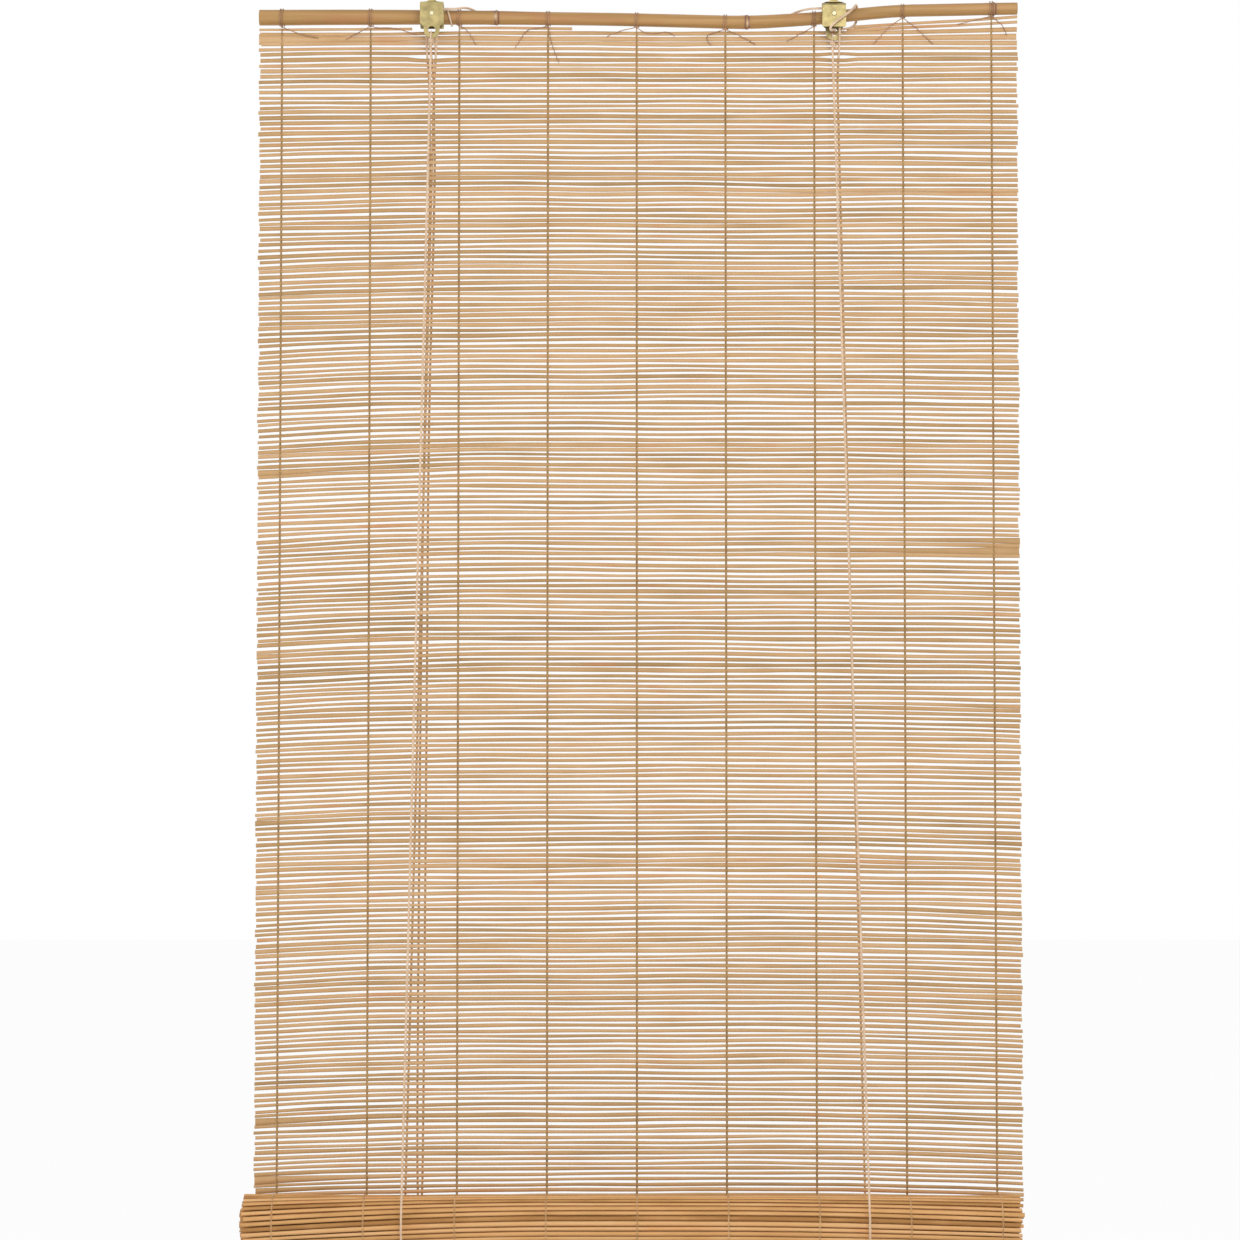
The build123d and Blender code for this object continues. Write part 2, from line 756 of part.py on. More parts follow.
lash_front = -plate_y - sheet / 2 - lashing_clearance - thick_lashing_radius
lash_back = plate_y + sheet / 2 + lashing_clearance + thick_lashing_radius
pole_rise, pole_radius = pole_at(265.5)
lash_over = axle_z + pole_rise + pole_radius + thick_lashing_radius
right_lash = [
    (239.5, lash_back, -45.4),
    (238.0, 4.0, -45.2),
    (236.0, -3.5, -46.7),
    (232.8, lash_front, -48.2),
    (233.2, lash_front - 2.0, -44.3),
    (239.5, lash_front - 1.2, -38.5),
    (254.5, lash_front - 0.6, -27.5),
    (261.5, 0.5, -20.0),
    (264.5, 9.5, lash_over + 1.2),
    (266.0, 20.0, lash_over + 1.6),
    (267.0, pole_y + pole_radius + 3.0, -21.5),
    (266.0, pole_y + pole_radius + 3.0, -32.0),
    (260.5, 19.0, -39.5),
    (251.0, 12.0, -42.5),
    (243.6, lash_back + 0.4, -44.4),
]
make_cord("right_lashing", thick_lashing_radius, [right_lash])
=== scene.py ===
"""Looks of a bamboo roll up blind: slats, pole, threads, cords and brackets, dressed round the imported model.

Everything is in metres in the model's frame: +Z up, +X to the right, +Y towards the wall. The origin is
midway between the two hanging holes of the pulley brackets.
"""

from __future__ import annotations

import logging
import math
import random
from dataclasses import dataclass, field
from enum import Enum
from typing import Any, Callable, Iterable, Sequence

import bpy
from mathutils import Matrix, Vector, noise

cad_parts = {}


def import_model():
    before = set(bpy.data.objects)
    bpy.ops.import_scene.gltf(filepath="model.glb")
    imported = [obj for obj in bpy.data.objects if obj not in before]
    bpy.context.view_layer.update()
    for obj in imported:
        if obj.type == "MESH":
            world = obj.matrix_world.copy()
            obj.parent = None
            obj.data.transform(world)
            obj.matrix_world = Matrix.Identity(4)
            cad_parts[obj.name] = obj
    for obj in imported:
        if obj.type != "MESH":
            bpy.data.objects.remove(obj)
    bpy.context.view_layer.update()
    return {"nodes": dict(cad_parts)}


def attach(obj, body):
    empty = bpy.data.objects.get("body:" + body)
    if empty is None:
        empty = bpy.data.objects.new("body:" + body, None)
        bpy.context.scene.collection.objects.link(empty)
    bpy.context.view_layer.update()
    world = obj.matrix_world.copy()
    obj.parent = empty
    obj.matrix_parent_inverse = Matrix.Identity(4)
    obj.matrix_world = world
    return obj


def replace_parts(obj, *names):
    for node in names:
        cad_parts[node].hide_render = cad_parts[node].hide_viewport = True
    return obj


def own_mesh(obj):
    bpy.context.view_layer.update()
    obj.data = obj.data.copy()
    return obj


log = logging.getLogger("blind")

MM = 0.001
TURN = 2 * math.pi

Colour = tuple[float, float, float]
Point = tuple[float, float, float]

WHITE = (1.0, 1.0, 1.0, 1.0)


class Body(Enum):
    """Bodies of the model that the pieces ride on."""

    HEAD = "head"
    SLINGS = "slings"
    ROLL = "roll"


class Side(Enum):
    """The two pulley brackets, named as seen from the room."""

    LEFT = -1
    RIGHT = 1


def linear(colour: Colour) -> tuple[float, float, float, float]:
    """Turn a display colour into the linear colour that a shader takes.

    Args:
        colour: Red, green and blue as they should look, from 0 to 1.

    Returns:
        The linear colour with full opacity.
    """
    return (*(c / 12.92 if c <= 0.04045 else ((c + 0.055) / 1.055) ** 2.4 for c in colour), 1.0)


class NodeMaker:
    """Adds nodes to a shader or geometry tree in short lines."""

    def __init__(self, tree: bpy.types.NodeTree) -> None:
        """Keep the tree that the nodes go into."""
        self.tree = tree

    def node(self, kind: str, sockets: dict[Any, Any] | None = None, **settings: Any) -> bpy.types.Node:
        """Add a node.

        Args:
            kind: Blender's name of the node type.
            sockets: Input name or number, to a value or to the output that feeds it.
            **settings: Properties to set before the inputs.

        Returns:
            The new node.
        """
        made = self.tree.nodes.new(kind)
        for key, value in settings.items():
            setattr(made, key, value)
        for key, value in (sockets or {}).items():
            self.feed(value, made.inputs[key])
        return made

    def feed(self, value: Any, socket: bpy.types.NodeSocket) -> None:
        """Link an output to a socket, or set the socket's value."""
        if isinstance(value, bpy.types.NodeSocket):
            self.tree.links.new(value, socket)
        else:
            socket.default_value = value

    def maths(self, operation: str, *values: Any) -> bpy.types.NodeSocket:
        """Add a Math node and return its output."""
        made = self.node("ShaderNodeMath", operation=operation)
        for number, value in enumerate(values):
            self.feed(value, made.inputs[number])
        return made.outputs[0]

    def vectors(self, operation: str, *values: Any) -> bpy.types.NodeSocket:
        """Add a Vector Math node and return its vector output."""
        made = self.node("ShaderNodeVectorMath", operation=operation)
        for number, value in enumerate(values):
            key = "Scale" if operation == "SCALE" and number == 1 else number
            self.feed(value, made.inputs[key])
        return made.outputs[0]

    def ramp(self, factor: Any, stops: Sequence[tuple[float, Colour]]) -> bpy.types.NodeSocket:
        """Add a Color Ramp with display colours and return its colour output."""
        made = self.node("ShaderNodeValToRGB", {"Fac": factor})
        band = made.color_ramp
        while len(band.elements) < len(stops):
            band.elements.new(0.5)
        for element, (place, colour) in zip(band.elements, stops):
            element.position = place
            element.color = linear(colour)
        return made.outputs["Color"]

    def mix(self, factor: Any, first: Any, second: Any, blend: str = "MIX") -> bpy.types.NodeSocket:
        """Mix two colours and return the result."""
        made = self.node("ShaderNodeMix", data_type="RGBA", blend_type=blend)
        self.feed(factor, made.inputs[0])
        self.feed(first, made.inputs[6])
        self.feed(second, made.inputs[7])
        return made.outputs[2]

    def noise(self, vector: Any, scale: float, detail: float = 3.0, w: Any = None) -> bpy.types.NodeSocket:
        """Add a Noise Texture and return its value, from 0 to 1."""
        sockets = {"Vector": vector, "Scale": scale, "Detail": detail}
        if w is None:
            return self.node("ShaderNodeTexNoise", sockets).outputs[0]
        return self.node("ShaderNodeTexNoise", {**sockets, "W": w}, noise_dimensions="4D").outputs[0]


class Finish:
    """A material that is made once, when it is first asked for."""

    name = "finish"

    def material(self) -> bpy.types.Material:
        """Return the material, made at the first call."""
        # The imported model's own materials carry the plain names.
        label = f"{self.name}_finish"
        found = bpy.data.materials.get(label)
        if found:
            return found
        made = bpy.data.materials.new(label)
        made.use_nodes = True
        maker = NodeMaker(made.node_tree)
        shader = made.node_tree.nodes["Principled BSDF"]
        place = maker.node("ShaderNodeTexCoord").outputs["Object"]
        self.dress(maker, shader, place)
        return made

    def dress(self, maker: NodeMaker, shader: bpy.types.Node, place: bpy.types.NodeSocket) -> None:
        """Wire the material's own nodes into its shader."""
        raise NotImplementedError

    def bump(
        self, maker: NodeMaker, shader: bpy.types.Node, height: Any, depth: float, strength: float
    ) -> None:
        """Feed a height into the shader's normal through a Bump node."""
        made = maker.node("ShaderNodeBump", {"Height": height, "Distance": depth, "Strength": strength})
        maker.feed(made.outputs["Normal"], shader.inputs["Normal"])


@dataclass(frozen=True)
class SplitBambooFinish(Finish):
    """Split bamboo slats: tan, peach, olive and orange-brown strips with fine long grain."""

    name: str = "split_bamboo"
    stops: tuple[tuple[float, Colour], ...] = (
        (0.0, (0.69, 0.55, 0.37)),
        (0.25, (0.76, 0.61, 0.42)),
        (0.5, (0.82, 0.66, 0.47)),
        (0.75, (0.86, 0.71, 0.53)),
        (1.0, (0.84, 0.64, 0.45)),
    )

    def dress(self, maker: NodeMaker, shader: bpy.types.Node, place: bpy.types.NodeSocket) -> None:
        """Colour each slat by its own tone, its long stains and its grain."""
        tone = maker.node("ShaderNodeAttribute", attribute_name="tone").outputs["Fac"]
        along = maker.vectors("MULTIPLY", place, (9.0, 0.0, 0.0))
        stain = maker.noise(along, 1.0, 4.0, maker.maths("MULTIPLY", tone, 91.7))
        grain_place = maker.vectors("MULTIPLY", place, (14.0, 900.0, 900.0))
        grain = maker.noise(grain_place, 1.0, 2.0)
        share = maker.maths("MULTIPLY_ADD", maker.maths("SUBTRACT", stain, 0.5), 1.5, tone)
        shaded = maker.maths("MULTIPLY_ADD", maker.maths("SUBTRACT", grain, 0.5), 0.35, share)
        colour = maker.ramp(shaded, self.stops)
        blush = maker.noise(along, 1.7, 2.0, maker.maths("MULTIPLY", tone, 37.3))
        blush_share = maker.node(
            "ShaderNodeMapRange",
            {"Value": blush, "From Min": 0.60, "From Max": 0.74, "To Min": 0.0, "To Max": 0.4},
        ).outputs[0]
        blushed = maker.mix(blush_share, colour, linear((0.83, 0.55, 0.38)))
        maker.feed(blushed, shader.inputs["Base Color"])
        shader.inputs["Roughness"].default_value = 0.62
        shader.inputs["Specular IOR Level"].default_value = 0.3
        self.bump(maker, shader, grain, 0.0004, 0.5)


@dataclass(frozen=True)
class BambooPoleFinish(Finish):
    """Bamboo culm: honey tan skin with long streaks, purplish node rings and sawn ends."""

    name: str = "bamboo_pole"

    def dress(self, maker: NodeMaker, shader: bpy.types.Node, place: bpy.types.NodeSocket) -> None:
        """Colour the skin by long streaks and the nodes by their own attribute."""
        streaks = maker.noise(maker.vectors("MULTIPLY", place, (3.0, 140.0, 140.0)), 1.0, 4.0)
        stops = (
            (0.25, (0.62, 0.47, 0.28)),
            (0.45, (0.71, 0.55, 0.34)),
            (0.58, (0.76, 0.59, 0.38)),
            (0.8, (0.80, 0.61, 0.42)),
        )
        colour = maker.ramp(streaks, stops)
        blotches = maker.noise(maker.vectors("MULTIPLY", place, (16.0, 60.0, 60.0)), 1.0, 3.0)
        share = maker.node(
            "ShaderNodeMapRange",
            {"Value": blotches, "From Min": 0.55, "From Max": 0.75, "To Min": 0.0, "To Max": 0.5},
        ).outputs[0]
        blotched = maker.mix(share, colour, linear((0.74, 0.49, 0.33)))
        ring = maker.node("ShaderNodeAttribute", attribute_name="node_ring").outputs["Fac"]
        ringed = maker.mix(ring, blotched, linear((0.50, 0.33, 0.29)))
        bud = maker.node("ShaderNodeAttribute", attribute_name="bud").outputs["Fac"]
        scarred = maker.mix(bud, ringed, linear((0.93, 0.80, 0.64)))
        sawn = maker.node("ShaderNodeAttribute", attribute_name="sawn").outputs["Fac"]
        ended = maker.mix(sawn, scarred, linear((0.80, 0.68, 0.50)))
        maker.feed(ended, shader.inputs["Base Color"])
        shader.inputs["Roughness"].default_value = 0.48
        shader.inputs["Specular IOR Level"].default_value = 0.35
        self.bump(maker, shader, streaks, 0.0005, 0.35)


@dataclass(frozen=True)
class YarnFinish(Finish):
    """Spun yarn: one colour, paler on its fuzz, with fine fibres along each strand."""

    name: str = "warp_yarn"
    pale: Colour = (0.80, 0.66, 0.44)
    deep: Colour = (0.61, 0.47, 0.28)

    def dress(self, maker: NodeMaker, shader: bpy.types.Node, place: bpy.types.NodeSocket) -> None:
        """Mix the two colours by a fine fibre noise and soften the edge with sheen."""
        fibres = maker.noise(place, 2600.0, 3.0)
        patches = maker.noise(place, 60.0, 2.0)
        share = maker.maths("MULTIPLY_ADD", maker.maths("SUBTRACT", fibres, 0.5), 0.9, patches)
        maker.feed(maker.ramp(share, [(0.3, self.deep), (0.7, self.pale)]), shader.inputs["Base Color"])
        shader.inputs["Roughness"].default_value = 0.85
        shader.inputs["Specular IOR Level"].default_value = 0.15
        shader.inputs["Sheen Weight"].default_value = 0.25
        self.bump(maker, shader, fibres, 0.0002, 0.6)


@dataclass(frozen=True)
class BrassFinish(Finish):
    """Brass-plated sheet steel: olive yellow, satin, with fine scratches and duller patches."""

    name: str = "brass_plate"
    colour: Colour = (0.67, 0.61, 0.42)

    def dress(self, maker: NodeMaker, shader: bpy.types.Node, place: bpy.types.NodeSocket) -> None:
        """Vary the plate's colour and roughness with patches and scratches."""
        patches = maker.noise(place, 110.0, 4.0)
        scratches = maker.noise(maker.vectors("MULTIPLY", place, (300.0, 300.0, 2600.0)), 1.0, 2.0)
        dull = tuple(c * 0.84 for c in self.colour)
        maker.feed(maker.ramp(patches, [(0.35, dull), (0.65, self.colour)]), shader.inputs["Base Color"])
        roughness = maker.node(
            "ShaderNodeMapRange",
            {"Value": scratches, "From Min": 0.3, "From Max": 0.7, "To Min": 0.36, "To Max": 0.54},
        ).outputs[0]
        maker.feed(roughness, shader.inputs["Roughness"])
        shader.inputs["Metallic"].default_value = 0.9
        self.bump(maker, shader, scratches, 0.0001, 0.3)


@dataclass(frozen=True)
class SteelFinish(Finish):
    """Plain zinc-grey steel of rivets and screws."""

    name: str = "rivet_steel"

    def dress(self, maker: NodeMaker, shader: bpy.types.Node, place: bpy.types.NodeSocket) -> None:
        """Give the steel a slight cloudiness."""
        clouds = maker.noise(place, 500.0, 2.0)
        stops = ((0.3, (0.66, 0.66, 0.63)), (0.7, (0.78, 0.78, 0.76)))
        maker.feed(maker.ramp(clouds, stops), shader.inputs["Base Color"])
        shader.inputs["Metallic"].default_value = 0.9
        shader.inputs["Roughness"].default_value = 0.3


SLAT_FINISH = SplitBambooFinish()
# Painted light: the rolled slats are the same bamboo as the hanging mat, but this copy is painted lighter and
# more orange to make up for the shade between the turns of the roll.
LIGHTENED_ROLL_FINISH = SplitBambooFinish(
    name="rolled_bamboo_painted_light",
    stops=(
        (0.0, (0.70, 0.50, 0.28)),
        (0.25, (0.83, 0.63, 0.39)),
        (0.5, (0.90, 0.69, 0.45)),
        (0.75, (0.93, 0.74, 0.52)),
        (1.0, (0.92, 0.68, 0.44)),
    ),
)
POLE_FINISH = BambooPoleFinish()
WARP_FINISH = YarnFinish()
# Painted light: the roll's warp strands are the same yarn as the mat's warps, but this copy is painted paler
# to stand in for the light on the roll.
LIGHTENED_ROLL_WARP_FINISH = YarnFinish(name="roll_yarn_painted_light", pale=(0.88, 0.72, 0.52), deep=(0.72, 0.55, 0.37))
TIE_FINISH = YarnFinish(name="tie_yarn", pale=(0.80, 0.63, 0.49), deep=(0.62, 0.47, 0.35))
COTTON_FINISH = YarnFinish(name="cotton_cord", pale=(0.97, 0.87, 0.76), deep=(0.88, 0.75, 0.62))
BRASS_FINISH = BrassFinish()
RIVET_FINISH = BrassFinish(name="rivet_brass", colour=(0.86, 0.82, 0.68))
STEEL_FINISH = SteelFinish()


def new_object(name: str, mesh: bpy.types.Mesh) -> bpy.types.Object:
    """Link a mesh into the scene as an object at the origin."""
    made = bpy.data.objects.new(name, mesh)
    bpy.context.scene.collection.objects.link(made)
    return made


def smooth(piece: bpy.types.Object, finish: Finish) -> bpy.types.Object:
    """Shade a mesh piece smooth and give it one finish."""
    piece.data.polygons.foreach_set("use_smooth", [True] * len(piece.data.polygons))
    piece.data.materials.clear()
    piece.data.materials.append(finish.material())
    return piece


def coat(node: bpy.types.Object, finish: Finish) -> bpy.types.Object:
    """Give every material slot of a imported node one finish."""
    for place in node.material_slots:
        place.material = finish.material()
    return node


def grow(host: bpy.types.Object, tree: bpy.types.NodeTree, values: dict[str, Any]) -> bpy.types.Object:
    """Run a Geometry Nodes tree on an object and keep the result as its plain mesh.

    Args:
        host: The object whose mesh feeds the tree.
        tree: The Geometry Nodes tree.
        values: The tree's inputs by name.

    Returns:
        The same object, with the result as its mesh and no modifier.
    """
    modifier = host.modifiers.new("shape", "NODES")
    modifier.node_group = tree
    for item in tree.interface.items_tree:
        if item.item_type == "SOCKET" and item.in_out == "INPUT" and item.name in values:
            modifier[item.identifier] = values[item.name]
    graph = bpy.context.evaluated_depsgraph_get()
    mesh = bpy.data.meshes.new_from_object(host.evaluated_get(graph), depsgraph=graph)
    host.modifiers.remove(modifier)
    before = host.data
    host.data = mesh
    bpy.data.meshes.remove(before)
    return host


def new_tree(
    name: str, inputs: Sequence[tuple[str, str]]
) -> tuple[bpy.types.NodeTree, NodeMaker, bpy.types.Node]:
    """Start a Geometry Nodes tree with a geometry in and out and named inputs.

    Args:
        name: The tree's name.
        inputs: Name and socket type of each further input.

    Returns:
        The tree, its node maker and its group input node.
    """
    tree = bpy.data.node_groups.new(name, "GeometryNodeTree")
    tree.interface.new_socket("Geometry", in_out="INPUT", socket_type="NodeSocketGeometry")
    for label, kind in inputs:
        tree.interface.new_socket(label, in_out="INPUT", socket_type=kind)
    tree.interface.new_socket("Geometry", in_out="OUTPUT", socket_type="NodeSocketGeometry")
    maker = NodeMaker(tree)
    return tree, maker, maker.node("NodeGroupInput")


def end_tree(maker: NodeMaker, shape: bpy.types.NodeSocket, material: bpy.types.NodeSocket) -> None:
    """End a tree in Realize Instances, smooth shading and Set Material."""
    real = maker.node("GeometryNodeRealizeInstances", {"Geometry": shape}).outputs[0]
    shaded = maker.node("GeometryNodeSetShadeSmooth", {"Geometry": real}).outputs[0]
    finished = maker.node("GeometryNodeSetMaterial", {"Geometry": shaded, "Material": material}).outputs[0]
    maker.node("NodeGroupOutput", {"Geometry": finished})


@dataclass(frozen=True)
class Yarn:
    """A twisted yarn or cord: strands laid in a helix along a route."""

    name: str
    strands: int
    strand_radius: float
    twist_radius: float
    lay: float
    sample: float
    finish: Finish
    sides: int = 5

    def tree(self) -> bpy.types.NodeTree:
        """Return the yarn's Geometry Nodes tree, made at the first call."""
        label = f"{self.name}_twist"
        found = bpy.data.node_groups.get(label)
        if found:
            return found
        inputs = [(n, "NodeSocketFloat") for n in ("Strand radius", "Twist radius", "Lay", "Sample")]
        inputs += [("Sides", "NodeSocketInt"), ("Material", "NodeSocketMaterial")]
        tree, maker, given = new_tree(label, inputs)
        path = maker.node("GeometryNodeMeshToCurve", {"Mesh": given.outputs["Geometry"]}).outputs[0]
        steps = {"Curve": path, "Length": given.outputs["Sample"]}
        even = maker.node("GeometryNodeResampleCurve", steps, mode="LENGTH").outputs[0]
        walked = maker.node("GeometryNodeSplineParameter").outputs["Length"]
        turned = maker.maths("MULTIPLY", maker.maths("DIVIDE", walked, given.outputs["Lay"]), TURN)
        across = maker.node("GeometryNodeInputNormal").outputs[0]
        ahead = maker.node("GeometryNodeInputTangent").outputs[0]
        beside = maker.vectors("CROSS_PRODUCT", ahead, across)
        rim = {"Resolution": given.outputs["Sides"], "Radius": given.outputs["Strand radius"]}
        section = maker.node("GeometryNodeCurvePrimitiveCircle", rim).outputs[0]
        join = maker.node("GeometryNodeJoinGeometry")
        for number in range(self.strands):
            angle = maker.maths("ADD", turned, TURN * number / self.strands)
            first = maker.vectors("SCALE", across, maker.maths("COSINE", angle))
            second = maker.vectors("SCALE", beside, maker.maths("SINE", angle))
            outwards = maker.vectors("ADD", first, second)
            offset = maker.vectors("SCALE", outwards, given.outputs["Twist radius"])
            laid = maker.node("GeometryNodeSetPosition", {"Geometry": even, "Offset": offset}).outputs[0]
            swept = {"Curve": laid, "Profile Curve": section, "Fill Caps": True}
            maker.feed(maker.node("GeometryNodeCurveToMesh", swept).outputs[0], join.inputs[0])
        end_tree(maker, join.outputs[0], given.outputs["Material"])
        return tree

    def along(self, name: str, line: Sequence[Vector], cyclic: bool = False) -> bpy.types.Object:
        """Lay the yarn along a line of close points.

        Args:
            name: The piece's name.
            line: The points that the yarn follows.
            cyclic: True if the line closes on itself.

        Returns:
            The yarn as a mesh piece.
        """
        return self.along_all(name, [line], cyclic)

    def along_all(
        self, name: str, lines: Iterable[Sequence[Vector]], cyclic: bool = False
    ) -> bpy.types.Object:
        """Lay the yarn along several lines as one piece."""
        points: list[Point] = []
        edges: list[tuple[int, int]] = []
        for line in lines:
            first = len(points)
            points.extend(tuple(p) for p in line)
            edges.extend((i, i + 1) for i in range(first, len(points) - 1))
            if cyclic:
                edges.append((len(points) - 1, first))
        mesh = bpy.data.meshes.new(name)
        mesh.from_pydata(points, edges, [])
        values = {
            "Strand radius": self.strand_radius,
            "Twist radius": self.twist_radius,
            "Lay": self.lay,
            "Sample": self.sample,
            "Sides": self.sides,
            "Material": self.finish.material(),
        }
        return grow(new_object(name, mesh), self.tree(), values)


COTTON_CORD = Yarn("cotton_cord", 3, 0.78 * MM, 0.72 * MM, 12.0 * MM, 1.9 * MM, COTTON_FINISH)
THIN_CORD = Yarn("thin_cord", 3, 0.62 * MM, 0.58 * MM, 9.0 * MM, 1.5 * MM, COTTON_FINISH)
THICK_CORD = Yarn("thick_cord", 3, 0.83 * MM, 0.77 * MM, 12.0 * MM, 1.2 * MM, COTTON_FINISH)
WARP_STRAND = Yarn("warp_strand", 1, 0.74 * MM, 0.0, 5.0 * MM, 1.55 * MM, WARP_FINISH)
TIE_YARN = Yarn("tie_yarn", 2, 0.36 * MM, 0.32 * MM, 4.0 * MM, 0.8 * MM, TIE_FINISH)
ROLL_STRAND = Yarn("roll_strand", 1, 0.74 * MM, 0.0, 5.0 * MM, 1.55 * MM, LIGHTENED_ROLL_WARP_FINISH)


def spline_points(points: Sequence[Point], cyclic: bool = False) -> list[Vector]:
    """Read the smooth line of a NURBS spline through its control points.

    Args:
        points: Control points in metres.
        cyclic: True if the spline closes on itself.

    Returns:
        Close points along the spline.
    """
    data = bpy.data.curves.new("route", "CURVE")
    data.dimensions = "3D"
    data.resolution_u = 12
    spline = data.splines.new("NURBS")
    spline.points.add(len(points) - 1)
    for place, point in zip(spline.points, points):
        place.co = (*point, 1.0)
    spline.use_cyclic_u = cyclic
    spline.order_u = 3
    spline.use_endpoint_u = not cyclic
    holder = bpy.data.objects.new("route", data)
    bpy.context.scene.collection.objects.link(holder)
    graph = bpy.context.evaluated_depsgraph_get()
    mesh = bpy.data.meshes.new_from_object(holder.evaluated_get(graph), depsgraph=graph)
    line = [v.co.copy() for v in mesh.vertices]
    bpy.data.meshes.remove(mesh)
    bpy.data.objects.remove(holder)
    bpy.data.curves.remove(data)
    return line


def millimetres(points: Iterable[Point]) -> list[Point]:
    """Turn points in millimetres into metres."""
    return [(x * MM, y * MM, z * MM) for x, y, z in points]


@dataclass(frozen=True)
class MatSway:
    """How the mat departs from level rows: drooping ends, uneven gaps, and slats parted round the cords."""

    left_droop: float = 9.0 * MM
    right_droop: float = 6.0 * MM
    droop_start: float = 140.0 * MM
    half_width: float = 450.0 * MM
    unevenness: float = 3.4 * MM
    right_lift: float = 6.0 * MM
    windows: tuple[tuple[float, float, float], ...] = (
        (-239.2 * MM, -74.863 * MM, 8.0 * MM),
        (244.4 * MM, -74.863 * MM, 3.5 * MM),
    )
    parting: float = 1.5 * MM
    side_reach: float = 11.0 * MM
    calm_reach: float = 30.0 * MM
    parting_reach: float = 9.0 * MM

    def droop(self, x: float, z: float) -> float:
        """Return how far a slat's end hangs at x; the right end droops only lower down."""
        past = (abs(x) - self.droop_start) / (self.half_width - self.droop_start)
        if past <= 0:
            return 0.0
        if x < 0:
            return self.left_droop * past**2 * min(1.0, max(0.15, -z * 2.5 - 0.05))
        return self.right_droop * past**2 * min(1.0, max(0.0, -z - 0.15))

    def lift_below_pole(self, x: float, z: float) -> float:
        """Return how far the right ends of the uppermost slats follow the pole, which bends up there."""
        past = max(0.0, (x - 0.23) / 0.226)
        return self.right_lift * past * math.exp(min(0.0, z + 0.046) / 0.012)

    def shift(self, x: float, z: float) -> float:
        """Return how far a point of the mat at x and z moves up or down."""
        broad = noise.noise(Vector((x * 3.1, 5.0, z * 21.0)))
        narrow = noise.noise(Vector((x * 8.0, 9.0, z * 62.0)))
        moved = self.unevenness * (0.62 * broad + 0.38 * narrow)
        moved += self.lift_below_pole(x, z) - self.droop(x, z)
        for window_x, window_z, half in self.windows:
            away = z - window_z
            beside = max(0.0, abs(x - window_x) - half)
            near = math.exp(-((beside / self.side_reach) ** 2))
            calm = near * math.exp(-((away / self.calm_reach) ** 2))
            aside = self.parting * near * math.exp(-abs(away) / self.parting_reach)
            moved = moved * (1 - calm) + math.copysign(aside, away)
        return moved

    def settle(self, piece: bpy.types.Object) -> None:
        """Move every vertex of a piece of the mat by the sway."""
        for vertex in piece.data.vertices:
            vertex.co.z += self.shift(vertex.co.x, vertex.co.z)


@dataclass
class Slat:
    """One split-bamboo slat before it is set in the mat."""

    middle: Point
    length: float
    height: float
    tone: float
    tilt: float = 0.0
    roll: float = 0.0
    flare_left: float = 0.0
    flare_right: float = 0.0


